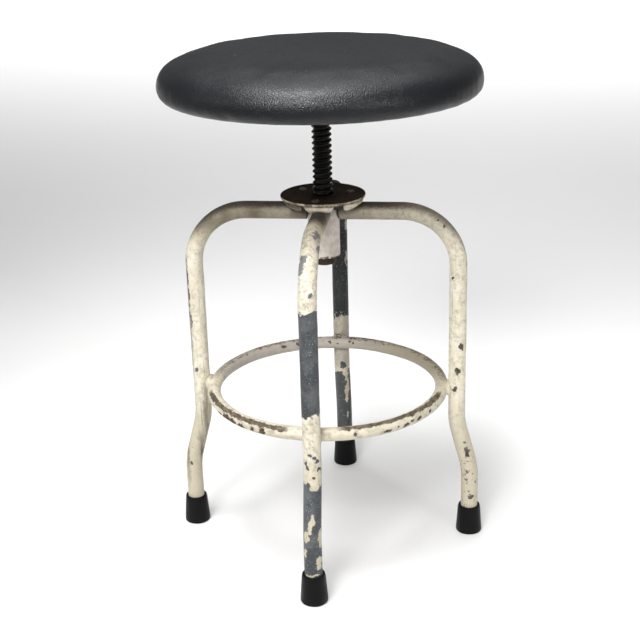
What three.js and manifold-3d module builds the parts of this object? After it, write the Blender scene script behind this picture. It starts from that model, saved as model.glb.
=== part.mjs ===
// Pedicure stool: a round padded seat on a screw spindle, carried by four bent tube legs and a foot ring.
// Millimetres, +Z up. The origin is on the floor at the centre of the foot circle, and the legs stand on
// -Y (front), +X (right), +Y (back) and -X (left). Every piece is drawn where it sits at rest.
import * as THREE from "three";
import { mergeVertices } from "three/addons/utils/BufferGeometryUtils.js";
import Module from "manifold-3d";

const wasm = await Module();
wasm.setup();

// ---- Clearances ----
const TOUCH = 0.3; // gap between two pieces that rest on or in each other
const COPE_GAP = 1.0; // open line between a leg's end and the sleeve
const THREAD_RADIAL_CLEARANCE = 0.5; // between the screw and its nut, at crest and at root
const THREAD_AXIAL_CLEARANCE = 0.35; // the same, at each flank
const PIN_CLEARANCE = 0.3; // round a pin or a screw shank
const WASHER_CLEARANCE = 0.5; // round the spindle's lower end

// ---- Legs and foot ring ----
const LEG_TUBE_DIAMETER = 20;
const LEG_TUBE_WALL = 1.5;
const LEG_CIRCLE_RADIUS = 152.3; // to the middle of the upright stretch
const LEG_ARM_HEIGHT = 402.4; // middle of the level arm that runs in to the hub
const LEG_BEND_RADIUS = 64; // top bend
const KICK_HEIGHT = 158; // where the leg starts to kick outwards
const KICK_OFFSET = 16.5; // how far the kick moves the foot out
const KICK_ANGLE = THREE.MathUtils.degToRad(15);
const KICK_BEND_RADIUS = 90;
const RING_BAR_DIAMETER = 16;
const RING_HEIGHT = 188;

// ---- Rubber feet ----
const FOOT_HEIGHT = 35;
const FOOT_SOLE = 5; // rubber under the tube's end
const FOOT_LIP_WALL = 2;
const FOOT_BASE_WALL = 5.2;
const FOOT_EDGE_RADIUS = 2.4;

// ---- Screw ----
const SPINDLE_DIAMETER = 22.5;
const SPINDLE_HANG = 8.5; // spindle's lower end below the sleeve's
const THREAD_PITCH = 6.35;
const THREAD_DEPTH = 2.05;
const RIDGE_BASE_WIDTH = 4.3;
const RIDGE_CREST_WIDTH = 2.5;
const SPINDLE_TOP_STEP = 0.2; // plain end held in the seat flange, in from the thread's root
const SPINDLE_TAIL_STEP = 1.2; // plain end that carries the washer and the stop collar, likewise

// ---- Hub ----
const NUT_WALL = 2.95;
const NUT_LENGTH = 40; // below its flange
const NUT_FLANGE_DIAMETER = 76;
const NUT_FLANGE_THICKNESS = 6;
const SLEEVE_WALL = 3;
const SLEEVE_LENGTH = 62.3;
const PLATE_DIAMETER = 96;
const PLATE_THICKNESS = 3.2;
const PLATE_HOLE_CLEARANCE = 0.8; // round the screw's crests
const SADDLE_INSET = 1.4; // outer edge of a saddle, in from the plate's rim
const SADDLE_DROP = 6; // how far a saddle hangs down beside the arm
const SADDLE_HALF_ANGLE = THREE.MathUtils.degToRad(24);
const PLATE_SCREW_CIRCLE_RADIUS = 32;
const PLATE_SCREW_COUNT = 3;
const PLATE_SCREW_FIRST_ANGLE = THREE.MathUtils.degToRad(22);
const PLATE_SCREW = { shank: 5, head: 9, headHeight: 1.4, grip: 4.4 };

// ---- Stop at the spindle's lower end ----
const WASHER_GAP = 1.2; // washer's rim to the sleeve's bore
const WASHER_THICKNESS = 2;
const COLLAR_GAP = 1.5; // collar's side to the sleeve's bore
const COLLAR_HEIGHT = 12;
const COLLAR_EDGE_RADIUS = 3;
const COLLAR_OVERHANG = 1; // collar below the spindle's end
const COLLAR_PIN_DIAMETER = 4;
const COLLAR_PIN_INSET = 0.5; // each end of the pin, in from the collar's side

// ---- Seat ----
const SEAT_DIAMETER = 354;
const SEAT_HEIGHT = 584; // floor to the top of the crown
const SEAT_THICKNESS = 50; // crown to underside
const SEAT_SHOULDER_DROP = 36; // crown to the widest line
const SEAT_SIDE_POWER = 6.9; // squareness of the crown in plan reach
const SEAT_CROWN_POWER = 2.2; // squareness of the crown in height
const COVER_THICKNESS = 1.2;
const COVER_LOWER_CURL = 12; // how far the lower edge curls in
const HEM_WIDTH = 25; // cover turned under the board
const BOARD_THICKNESS = 12;
const BOARD_EDGE_GAP = 2.5; // wadding between the board's edge and the cover
const FLANGE_DIAMETER = 120;
const FLANGE_THICKNESS = 5;
const BOSS_DIAMETER = 36;
const BOSS_DROP = 14;
const FLANGE_PIN_DIAMETER = 5;
const SEAT_SCREW_CIRCLE_RADIUS = 48;
const SEAT_SCREW_COUNT = 4;
const SEAT_SCREW = { shank: 5, head: 9.6, headHeight: 2.6, grip: 9 };

// ---- Facets ----
const THREAD_FACETS = 12; // per turn
const TUBE_FACETS = 16;
const TUBE_BORE_FACETS = 8;
const ROUND_FACETS = 20;
const SMALL_FACETS = 8;
const SEAT_FACETS = 40;
const RING_FACETS = 36;
const RING_BAR_FACETS = 10;
const CROWN_STEPS = 5; // from the seat's widest line to the middle of its crown
const COLLAR_EDGE_STEPS = 3;
const CURL_STEPS = 2; // from the widest line down to the underside

// ---- Sizes that follow from the ones above ----
const LEG_TOP = LEG_ARM_HEIGHT + LEG_TUBE_DIAMETER / 2;
const CREST_RADIUS = SPINDLE_DIAMETER / 2;
const ROOT_RADIUS = CREST_RADIUS - THREAD_DEPTH;
const NUT_RADIUS = CREST_RADIUS + THREAD_RADIAL_CLEARANCE + NUT_WALL;
const SLEEVE_BORE_RADIUS = NUT_RADIUS + TOUCH;
const SLEEVE_RADIUS = SLEEVE_BORE_RADIUS + SLEEVE_WALL;
const SLEEVE_TOP = LEG_TOP;
const SLEEVE_BOTTOM = SLEEVE_TOP - SLEEVE_LENGTH;
const NUT_FLANGE_BOTTOM = LEG_TOP + TOUCH;
const NUT_FLANGE_TOP = NUT_FLANGE_BOTTOM + NUT_FLANGE_THICKNESS;
const PLATE_BOTTOM = NUT_FLANGE_TOP + TOUCH;
const PLATE_TOP = PLATE_BOTTOM + PLATE_THICKNESS;
const FOOT_CIRCLE_RADIUS = LEG_CIRCLE_RADIUS + KICK_OFFSET;
const FOOT_BORE_RADIUS = LEG_TUBE_DIAMETER / 2 + TOUCH;

const SEAT_BOTTOM = SEAT_HEIGHT - SEAT_THICKNESS;
const SEAT_SHOULDER = SEAT_HEIGHT - SEAT_SHOULDER_DROP;
const BOARD_BOTTOM = SEAT_BOTTOM + COVER_THICKNESS + TOUCH;
const BOARD_TOP = BOARD_BOTTOM + BOARD_THICKNESS;
const FLANGE_TOP = BOARD_BOTTOM - TOUCH;
const FLANGE_BOTTOM = FLANGE_TOP - FLANGE_THICKNESS;
const BOSS_BOTTOM = FLANGE_BOTTOM - BOSS_DROP;
const FLANGE_PIN_HEIGHT = BOSS_BOTTOM + BOSS_DROP / 2;

const SPINDLE_TOP = FLANGE_TOP;
const SPINDLE_BOTTOM = SLEEVE_BOTTOM - SPINDLE_HANG;
const SPINDLE_TOP_RADIUS = ROOT_RADIUS - SPINDLE_TOP_STEP;
const SPINDLE_TAIL_RADIUS = ROOT_RADIUS - SPINDLE_TAIL_STEP;
const WASHER_RADIUS = SLEEVE_BORE_RADIUS - WASHER_GAP;
const COLLAR_RADIUS = SLEEVE_BORE_RADIUS - COLLAR_GAP;
const COLLAR_BOTTOM = SPINDLE_BOTTOM - COLLAR_OVERHANG;
const COLLAR_TOP = COLLAR_BOTTOM + COLLAR_HEIGHT;
const COLLAR_PIN_HEIGHT = COLLAR_BOTTOM + COLLAR_HEIGHT / 2;
const WASHER_BOTTOM = COLLAR_TOP + TOUCH;
const WASHER_TOP = WASHER_BOTTOM + WASHER_THICKNESS;
const THREAD_BOTTOM = WASHER_TOP + TOUCH;
const THREAD_TOP = BOSS_BOTTOM - TOUCH;

// ---- Making and cutting solids ----

// A closed three.js geometry as a solid that can be joined and cut.
function solidOf(geometry) {
  const bare = geometry.clone();
  bare.deleteAttribute("normal");
  bare.deleteAttribute("uv");
  const welded = mergeVertices(bare, 1e-4);
  return new wasm.Manifold(
    new wasm.Mesh({
      numProp: 3,
      vertProperties: welded.attributes.position.array,
      triVerts: new Uint32Array(welded.index.array),
    }),
  );
}

function geometryOf(solid) {
  const { vertProperties, triVerts } = solid.getMesh();
  const geometry = new THREE.BufferGeometry();
  geometry.setAttribute("position", new THREE.BufferAttribute(vertProperties, 3));
  geometry.setIndex(new THREE.BufferAttribute(triVerts, 1));
  geometry.computeVertexNormals();
  return geometry;
}

// An outline of [radius, height] points turned about the Z axis.
function revolve(outline, facets) {
  const points = outline.map(([radius, height]) => new THREE.Vector2(radius, height));
  return new THREE.LatheGeometry(points, facets).rotateX(Math.PI / 2);
}

// A cylinder about the Z axis between two heights.
function rod(radius, bottom, top, facets) {
  const cylinder = new THREE.CylinderGeometry(radius, radius, top - bottom, facets);
  return cylinder.rotateX(Math.PI / 2).translate(0, 0, (bottom + top) / 2);
}

// A cylinder along X, centred over the axis at one height.
function crossRod(radius, length, height) {
  const cylinder = new THREE.CylinderGeometry(radius, radius, length, SMALL_FACETS);
  return cylinder.rotateZ(Math.PI / 2).translate(0, 0, height);
}

// A tube about the Z axis.
function hollowRod(boreRadius, radius, bottom, top, facets) {
  return revolve(
    [
      [boreRadius, bottom],
      [radius, bottom],
      [radius, top],
      [boreRadius, top],
      [boreRadius, bottom],
    ],
    facets,
  );
}

// Points of an elliptical quarter edge, from angle 0 (outermost) down to -90 degrees (lowest).
function lowerEdge(radius, height, inwards, downwards, steps) {
  const points = [];
  for (let step = 0; step <= steps; step++) {
    const angle = (step / steps) * (Math.PI / 2);
    points.push([
      radius - inwards * (1 - Math.cos(angle)),
      height - downwards * Math.sin(angle),
    ]);
  }
  return points;
}

// A path held as stations, each with the frame that a swept section takes there: the section's x runs
// along sideways and its y along upwards.
class StationPath extends THREE.Curve {
  constructor(stations) {
    super();
    this.stations = stations;
  }
  getPoint(share) {
    return this.stations[Math.round(share * (this.stations.length - 1))].point.clone();
  }
  getSpacedPoints() {
    return this.stations.map((station) => station.point.clone());
  }
  computeFrenetFrames() {
    return {
      tangents: this.stations.map((station) => station.sideways.clone().cross(station.upwards)),
      normals: this.stations.map((station) => station.sideways),
      binormals: this.stations.map((station) => station.upwards),
    };
  }
}

function sweep(section, stations) {
  return new THREE.ExtrudeGeometry(section, {
    steps: stations.length - 1,
    extrudePath: new StationPath(stations),
  });
}

// A round section, drawn with straight facets.
function circlePath(Path, radius, facets) {
  const points = [];
  for (let facet = 0; facet < facets; facet++) {
    const angle = (facet / facets) * 2 * Math.PI;
    points.push(new THREE.Vector2(radius * Math.cos(angle), radius * Math.sin(angle)));
  }
  return new Path(points);
}

// ---- Legs, ring and feet ----

// Stations of a tube bent in the XZ plane. It sets out level along +X, and each move is a straight
// length or a turn at a bend radius.
function bendTube(startRadius, startHeight, moves) {
  const stations = [];
  let across = startRadius;
  let height = startHeight;
  let heading = 0;
  const mark = () =>
    stations.push({
      point: new THREE.Vector3(across, 0, height),
      sideways: new THREE.Vector3(0, 1, 0),
      upwards: new THREE.Vector3(-Math.sin(heading), 0, Math.cos(heading)),
    });
  mark();
  for (const { straight, turn, radius, steps } of moves) {
    if (straight !== undefined) {
      across += straight * Math.cos(heading);
      height += straight * Math.sin(heading);
      mark();
      continue;
    }
    const stepTurn = turn / steps;
    const chord = 2 * radius * Math.sin(Math.abs(stepTurn) / 2);
    for (let step = 0; step < steps; step++) {
      across += chord * Math.cos(heading + stepTurn / 2);
      height += chord * Math.sin(heading + stepTurn / 2);
      heading += stepTurn;
      mark();
    }
  }
  return stations;
}

function legGeometry() {
  const start = SLEEVE_RADIUS - SLEEVE_WALL;
  const kickArcOffset = 2 * KICK_BEND_RADIUS * (1 - Math.cos(KICK_ANGLE));
  const kickStraight = (KICK_OFFSET - kickArcOffset) / Math.sin(KICK_ANGLE);
  const kickDrop =
    2 * KICK_BEND_RADIUS * Math.sin(KICK_ANGLE) + kickStraight * Math.cos(KICK_ANGLE);
  const stations = bendTube(start, LEG_ARM_HEIGHT, [
    { straight: LEG_CIRCLE_RADIUS - LEG_BEND_RADIUS - start },
    { turn: -Math.PI / 2, radius: LEG_BEND_RADIUS, steps: 7 },
    { straight: LEG_ARM_HEIGHT - LEG_BEND_RADIUS - KICK_HEIGHT },
    { turn: KICK_ANGLE, radius: KICK_BEND_RADIUS, steps: 2 },
    { straight: kickStraight },
    { turn: -KICK_ANGLE, radius: KICK_BEND_RADIUS, steps: 2 },
    { straight: KICK_HEIGHT - kickDrop - FOOT_SOLE - TOUCH },
  ]);
  const section = circlePath(THREE.Shape, LEG_TUBE_DIAMETER / 2, TUBE_FACETS);
  const boreRadius = LEG_TUBE_DIAMETER / 2 - LEG_TUBE_WALL;
  section.holes.push(circlePath(THREE.Path, boreRadius, TUBE_BORE_FACETS));
  const cope = rod(
    SLEEVE_RADIUS + COPE_GAP,
    LEG_ARM_HEIGHT - LEG_TUBE_DIAMETER,
    LEG_ARM_HEIGHT + LEG_TUBE_DIAMETER,
    ROUND_FACETS,
  );
  return geometryOf(solidOf(sweep(section, stations)).subtract(solidOf(cope)));
}

function footRingGeometry() {
  const barRadius = RING_BAR_DIAMETER / 2;
  const ringRadius = LEG_CIRCLE_RADIUS - LEG_TUBE_DIAMETER / 2 - TOUCH - barRadius;
  const outline = [];
  for (let facet = 0; facet <= RING_BAR_FACETS; facet++) {
    const angle = (facet / RING_BAR_FACETS) * 2 * Math.PI;
    outline.push([
      ringRadius + barRadius * Math.cos(angle),
      RING_HEIGHT + barRadius * Math.sin(angle),
    ]);
  }
  outline[RING_BAR_FACETS] = outline[0];
  return revolve(outline, RING_FACETS);
}

// A moulded rubber cup: flat sole, rounded lower edge and a thin lip round the tube.
function footGeometry() {
  const baseRadius = FOOT_BORE_RADIUS + FOOT_BASE_WALL;
  const edge = lowerEdge(baseRadius, FOOT_EDGE_RADIUS, FOOT_EDGE_RADIUS, FOOT_EDGE_RADIUS, 2);
  return revolve(
    [
      [0, 0],
      ...edge.reverse(),
      [FOOT_BORE_RADIUS + FOOT_LIP_WALL, FOOT_HEIGHT - FOOT_LIP_WALL / 2],
      [FOOT_BORE_RADIUS + FOOT_LIP_WALL / 2, FOOT_HEIGHT],
      [FOOT_BORE_RADIUS, FOOT_HEIGHT],
      [FOOT_BORE_RADIUS, FOOT_SOLE],
      [0, FOOT_SOLE],
    ],
    ROUND_FACETS,
  );
}

// ---- Screw thread ----

// The right-hand ridge of the thread, wound about the Z axis from one height to another. Any two ridges
// share one helix, so a screw and its nut are always in step.
function threadRidge(innerRadius, outerRadius, baseWidth, crestWidth, bottom, top) {
  const stepRise = THREAD_PITCH / THREAD_FACETS;
  const firstStep = Math.floor(bottom / stepRise) - THREAD_FACETS;
  const lastStep = Math.ceil(top / stepRise) + THREAD_FACETS;
  const stations = [];
  for (let step = firstStep; step <= lastStep; step++) {
    const angle = (step / THREAD_FACETS) * 2 * Math.PI;
    stations.push({
      point: new THREE.Vector3(0, 0, step * stepRise),
      sideways: new THREE.Vector3(0, 0, 1),
      upwards: new THREE.Vector3(Math.cos(angle), Math.sin(angle), 0),
    });
  }
  // The flank's slope is carried on below the root, so that the ridge is sunk into its core.
  const slope = (baseWidth - crestWidth) / 2 / (outerRadius - ROOT_RADIUS);
  const innerWidth = crestWidth + 2 * slope * (outerRadius - innerRadius);
  const section = new THREE.Shape([
    new THREE.Vector2(-innerWidth / 2, innerRadius),
    new THREE.Vector2(innerWidth / 2, innerRadius),
    new THREE.Vector2(crestWidth / 2, outerRadius),
    new THREE.Vector2(-crestWidth / 2, outerRadius),
  ]);
  return solidOf(sweep(section, stations)).intersect(
    solidOf(rod(2 * outerRadius, bottom, top, THREAD_FACETS)),
  );
}

function spindleGeometry() {
  const sunk = ROOT_RADIUS - 0.8;
  const collarPinHole = crossRod(
    COLLAR_PIN_DIAMETER / 2 + PIN_CLEARANCE,
    SPINDLE_DIAMETER,
    COLLAR_PIN_HEIGHT,
  );
  const flangePinHole = crossRod(
    FLANGE_PIN_DIAMETER / 2 + PIN_CLEARANCE,
    SPINDLE_DIAMETER,
    FLANGE_PIN_HEIGHT,
  );
  const spindle = solidOf(
    revolve(
      [
        [0, SPINDLE_BOTTOM],
        [SPINDLE_TAIL_RADIUS, SPINDLE_BOTTOM],
        [SPINDLE_TAIL_RADIUS, THREAD_BOTTOM],
        [ROOT_RADIUS, THREAD_BOTTOM],
        [ROOT_RADIUS, THREAD_TOP],
        [SPINDLE_TOP_RADIUS, THREAD_TOP],
        [SPINDLE_TOP_RADIUS, SPINDLE_TOP],
        [0, SPINDLE_TOP],
      ],
      THREAD_FACETS,
    ),
  )
    .add(
      threadRidge(
        sunk,
        CREST_RADIUS,
        RIDGE_BASE_WIDTH,
        RIDGE_CREST_WIDTH,
        THREAD_BOTTOM,
        THREAD_TOP,
      ),
    )
    .subtract(solidOf(collarPinHole))
    .subtract(solidOf(flangePinHole));
  return geometryOf(spindle);
}

// ---- Hub ----

function plateScrewSpots() {
  const spots = [];
  for (let screw = 0; screw < PLATE_SCREW_COUNT; screw++) {
    const angle = PLATE_SCREW_FIRST_ANGLE + (screw / PLATE_SCREW_COUNT) * 2 * Math.PI;
    spots.push([
      PLATE_SCREW_CIRCLE_RADIUS * Math.cos(angle),
      PLATE_SCREW_CIRCLE_RADIUS * Math.sin(angle),
    ]);
  }
  return spots;
}

// Cuts the same round hole at each of a set of spots.
function drill(solid, spots, radius, bottom, top) {
  let drilled = solid;
  for (const [x, y] of spots) {
    drilled = drilled.subtract(solidOf(rod(radius, bottom, top, SMALL_FACETS).translate(x, y, 0)));
  }
  return drilled;
}

function hubNutGeometry() {
  const bottom = NUT_FLANGE_BOTTOM - NUT_LENGTH;
  const boreRadius = ROOT_RADIUS + THREAD_RADIAL_CLEARANCE;
  const blank = hollowRod(boreRadius, NUT_RADIUS, bottom, NUT_FLANGE_TOP, THREAD_FACETS * 2);
  const flange = hollowRod(
    NUT_RADIUS - NUT_WALL / 2,
    NUT_FLANGE_DIAMETER / 2,
    NUT_FLANGE_BOTTOM,
    NUT_FLANGE_TOP,
    THREAD_FACETS * 2,
  );
  const groove = threadRidge(
    boreRadius - 1,
    CREST_RADIUS + THREAD_RADIAL_CLEARANCE,
    RIDGE_BASE_WIDTH + 2 * THREAD_AXIAL_CLEARANCE,
    RIDGE_CREST_WIDTH + 2 * THREAD_AXIAL_CLEARANCE,
    bottom - 1,
    NUT_FLANGE_TOP + 1,
  );
  const holeRadius = PLATE_SCREW.shank / 2 + PIN_CLEARANCE;
  const holeBottom = NUT_FLANGE_TOP - PLATE_SCREW.grip - TOUCH;
  const nut = solidOf(blank).add(solidOf(flange)).subtract(groove);
  return geometryOf(drill(nut, plateScrewSpots(), holeRadius, holeBottom, NUT_FLANGE_TOP + 1));
}

function hubSleeveGeometry() {
  return hollowRod(
    SLEEVE_BORE_RADIUS,
    SLEEVE_RADIUS,
    SLEEVE_BOTTOM,
    SLEEVE_TOP,
    ROUND_FACETS,
  );
}

function hubPlateGeometry() {
  const boreRadius = CREST_RADIUS + PLATE_HOLE_CLEARANCE;
  const disc = hollowRod(boreRadius, PLATE_DIAMETER / 2, PLATE_BOTTOM, PLATE_TOP, ROUND_FACETS * 2);
  const holeRadius = PLATE_SCREW.shank / 2 + PIN_CLEARANCE;
  return geometryOf(
    drill(solidOf(disc), plateScrewSpots(), holeRadius, PLATE_BOTTOM - 1, PLATE_TOP + 1),
  );
}

// A domed screw about the Z axis. Its head sits on seatHeight and its shank points away from the head,
// down where up is 1 and up where up is -1.
function screwGeometry({ shank, head, headHeight, grip }, seatHeight, clamped, up) {
  const underHead = seatHeight + up * TOUCH;
  const outline = [
    [0, seatHeight - up * (clamped + grip)],
    [shank / 2, seatHeight - up * (clamped + grip)],
    [shank / 2, underHead],
    [head / 2, underHead],
    [head / 2, underHead + up * headHeight * 0.35],
    [head * 0.36, underHead + up * headHeight * 0.8],
    [0, underHead + up * headHeight],
  ];
  return revolve(up > 0 ? outline : outline.reverse(), SMALL_FACETS);
}

// The shaped lump that packs the gap between the plate's rim and the arm below it.
function saddleGeometry() {
  const innerRadius = NUT_FLANGE_DIAMETER / 2 + TOUCH;
  const outerRadius = PLATE_DIAMETER / 2 - SADDLE_INSET;
  const sector = new THREE.Shape();
  sector.absarc(0, 0, outerRadius, -SADDLE_HALF_ANGLE, SADDLE_HALF_ANGLE, false);
  sector.absarc(0, 0, innerRadius, SADDLE_HALF_ANGLE, -SADDLE_HALF_ANGLE, true);
  const bottom = LEG_TOP - SADDLE_DROP;
  const block = new THREE.ExtrudeGeometry(sector, {
    depth: PLATE_BOTTOM - TOUCH - bottom,
    bevelEnabled: false,
    curveSegments: 6,
  }).translate(0, 0, bottom);
  const armRadius = LEG_TUBE_DIAMETER / 2 + TOUCH;
  const arm = new THREE.CylinderGeometry(armRadius, armRadius, PLATE_DIAMETER, ROUND_FACETS)
    .rotateZ(Math.PI / 2)
    .translate(PLATE_DIAMETER / 2, 0, LEG_ARM_HEIGHT);
  return geometryOf(solidOf(block).subtract(solidOf(arm)));
}

// ---- Stop at the spindle's lower end ----

function stopCollarGeometry() {
  const edge = lowerEdge(
    COLLAR_RADIUS,
    COLLAR_BOTTOM + COLLAR_EDGE_RADIUS,
    COLLAR_EDGE_RADIUS,
    COLLAR_EDGE_RADIUS,
    COLLAR_EDGE_STEPS,
  );
  const boreRadius = SPINDLE_TAIL_RADIUS + TOUCH;
  const collar = solidOf(
    revolve(
      [
        [boreRadius, COLLAR_BOTTOM],
        ...edge.reverse(),
        [COLLAR_RADIUS, COLLAR_TOP],
        [boreRadius, COLLAR_TOP],
        [boreRadius, COLLAR_BOTTOM],
      ],
      ROUND_FACETS,
    ),
  );
  const pinHole = crossRod(
    COLLAR_PIN_DIAMETER / 2 + PIN_CLEARANCE,
    4 * COLLAR_RADIUS,
    COLLAR_PIN_HEIGHT,
  );
  return geometryOf(collar.subtract(solidOf(pinHole)));
}

function thrustWasherGeometry() {
  return hollowRod(
    SPINDLE_TAIL_RADIUS + WASHER_CLEARANCE,
    WASHER_RADIUS,
    WASHER_BOTTOM,
    WASHER_TOP,
    ROUND_FACETS,
  );
}

// ---- Seat ----

// The seat's outline from its lowest curled edge up to the crown, pulled in by a skin of some thickness.
function seatOutline(skin) {
  const reach = SEAT_DIAMETER / 2 - skin;
  const rise = SEAT_SHOULDER_DROP - skin;
  const fall = SEAT_THICKNESS - SEAT_SHOULDER_DROP - skin;
  const curl = COVER_LOWER_CURL - skin;
  const outline = lowerEdge(reach, SEAT_SHOULDER, curl, fall, CURL_STEPS).reverse();
  for (let step = 1; step <= CROWN_STEPS; step++) {
    const angle = (step / CROWN_STEPS) * (Math.PI / 2);
    outline.push([
      step === CROWN_STEPS ? 0 : reach * Math.cos(angle) ** (2 / SEAT_SIDE_POWER),
      SEAT_SHOULDER + rise * Math.sin(angle) ** (2 / SEAT_CROWN_POWER),
    ]);
  }
  return outline;
}

// The vinyl cover: a thin cap, open below inside its hem.
function seatCoverGeometry() {
  const hemRadius = SEAT_DIAMETER / 2 - COVER_LOWER_CURL - HEM_WIDTH;
  const outer = seatOutline(0);
  const inner = seatOutline(COVER_THICKNESS).reverse();
  return revolve(
    [
      [hemRadius, SEAT_BOTTOM],
      ...outer,
      ...inner,
      [hemRadius, SEAT_BOTTOM + COVER_THICKNESS],
      [hemRadius, SEAT_BOTTOM],
    ],
    SEAT_FACETS,
  );
}

function seatFoamGeometry() {
  const bottom = BOARD_TOP + TOUCH;
  const crown = seatOutline(COVER_THICKNESS + TOUCH).filter(([, height]) => height > bottom);
  return revolve([[0, bottom], [crown[0][0], bottom], ...crown], SEAT_FACETS);
}

function seatScrewSpots() {
  const spots = [];
  for (let screw = 0; screw < SEAT_SCREW_COUNT; screw++) {
    const angle = ((screw + 0.5) / SEAT_SCREW_COUNT) * 2 * Math.PI;
    spots.push([
      SEAT_SCREW_CIRCLE_RADIUS * Math.cos(angle),
      SEAT_SCREW_CIRCLE_RADIUS * Math.sin(angle),
    ]);
  }
  return spots;
}

function seatBoardGeometry() {
  const radius = SEAT_DIAMETER / 2 - COVER_THICKNESS - BOARD_EDGE_GAP;
  const lowerRadius = SEAT_DIAMETER / 2 - COVER_LOWER_CURL;
  const edge = lowerEdge(radius, BOARD_TOP - 1, radius - lowerRadius, BOARD_THICKNESS - 1, CURL_STEPS);
  const board = solidOf(
    revolve([[0, BOARD_BOTTOM], ...edge.reverse(), [radius, BOARD_TOP], [0, BOARD_TOP]], SEAT_FACETS),
  );
  const holeRadius = SEAT_SCREW.shank / 2 + PIN_CLEARANCE;
  const holeTop = BOARD_BOTTOM + SEAT_SCREW.grip + TOUCH;
  return geometryOf(drill(board, seatScrewSpots(), holeRadius, BOARD_BOTTOM - 1, holeTop));
}

// A cast flange with a boss that takes the spindle's plain end.
function seatFlangeGeometry() {
  const boreRadius = SPINDLE_TOP_RADIUS + TOUCH;
  const casting = solidOf(
    revolve(
      [
        [boreRadius, BOSS_BOTTOM],
        [BOSS_DIAMETER / 2, BOSS_BOTTOM],
        [BOSS_DIAMETER / 2, FLANGE_BOTTOM],
        [FLANGE_DIAMETER / 2, FLANGE_BOTTOM],
        [FLANGE_DIAMETER / 2, FLANGE_TOP],
        [boreRadius, FLANGE_TOP],
        [boreRadius, BOSS_BOTTOM],
      ],
      ROUND_FACETS,
    ),
  );
  const pinHole = crossRod(
    FLANGE_PIN_DIAMETER / 2 + PIN_CLEARANCE,
    2 * BOSS_DIAMETER,
    FLANGE_PIN_HEIGHT,
  );
  const holeRadius = SEAT_SCREW.shank / 2 + PIN_CLEARANCE;
  return geometryOf(
    drill(
      casting.subtract(solidOf(pinHole)),
      seatScrewSpots(),
      holeRadius,
      FLANGE_BOTTOM - 1,
      FLANGE_TOP + 1,
    ),
  );
}

// ---- Finishes ----
const finish = (color, roughness, metalness) =>
  new THREE.MeshStandardMaterial({ color, roughness, metalness });
const creamPaint = finish(0xe4dcc4, 0.5, 0);
const hubPaint = finish(0xb9aca0, 0.6, 0);
const darkSteel = finish(0x2a211c, 0.6, 0.4);
const blackSteel = finish(0x0c0c0d, 0.25, 0.5);
const rustySteel = finish(0x4b3122, 0.8, 0.3);
const blackRubber = finish(0x101010, 0.55, 0);
const blackVinyl = finish(0x16181b, 0.4, 0);
const foamYellow = finish(0xd8c98a, 0.9, 0);
const plywood = finish(0xb98e5c, 0.7, 0);
const greyIron = finish(0x2d2d2f, 0.6, 0.6);
const zincSteel = finish(0x9a9a96, 0.4, 0.8);

// ---- Assembly ----
const stool = new THREE.Group();

function place(name, geometry, material) {
  const mesh = new THREE.Mesh(geometry, material);
  mesh.name = name;
  stool.add(mesh);
  return mesh;
}

const LEG_PLACES = [
  { side: "front", turn: -Math.PI / 2 },
  { side: "right", turn: 0 },
  { side: "back", turn: Math.PI / 2 },
  { side: "left", turn: Math.PI },
];
const leg = legGeometry();
const saddle = saddleGeometry();
const foot = footGeometry();
for (const { side, turn } of LEG_PLACES) {
  place(`leg_${side}`, leg, creamPaint).rotation.z = turn;
  place(`arm_saddle_${side}`, saddle, creamPaint).rotation.z = turn;
  const footAt = new THREE.Vector3(FOOT_CIRCLE_RADIUS, 0, 0);
  footAt.applyAxisAngle(new THREE.Vector3(0, 0, 1), turn);
  place(`foot_${side}`, foot, blackRubber).position.copy(footAt);
}
place("foot_ring", footRingGeometry(), creamPaint);

place("hub_sleeve", hubSleeveGeometry(), hubPaint);
place("hub_nut", hubNutGeometry(), darkSteel);
place("hub_plate", hubPlateGeometry(), darkSteel);
plateScrewSpots().forEach(([x, y], index) => {
  const screw = screwGeometry(PLATE_SCREW, PLATE_TOP, PLATE_THICKNESS + TOUCH, 1);
  place(`plate_screw_${index + 1}`, screw, darkSteel).position.set(x, y, 0);
});

place("thrust_washer", thrustWasherGeometry(), rustySteel);
place("stop_collar", stopCollarGeometry(), rustySteel);
place(
  "collar_pin",
  crossRod(COLLAR_PIN_DIAMETER / 2, 2 * (COLLAR_RADIUS - COLLAR_PIN_INSET), COLLAR_PIN_HEIGHT),
  zincSteel,
);
place("spindle", spindleGeometry(), blackSteel);

place("seat_flange", seatFlangeGeometry(), greyIron);
place("flange_pin", crossRod(FLANGE_PIN_DIAMETER / 2, BOSS_DIAMETER - 2, FLANGE_PIN_HEIGHT), zincSteel);
seatScrewSpots().forEach(([x, y], index) => {
  const screw = screwGeometry(SEAT_SCREW, FLANGE_BOTTOM, FLANGE_THICKNESS + TOUCH, -1);
  place(`seat_screw_${index + 1}`, screw, zincSteel).position.set(x, y, 0);
});
place("seat_board", seatBoardGeometry(), plywood);
place("seat_foam", seatFoamGeometry(), foamYellow);
place("seat_cover", seatCoverGeometry(), blackVinyl);

export default stool;
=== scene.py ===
import bmesh
import bpy
import math
import random
from mathutils import Matrix, Vector, noise


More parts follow.
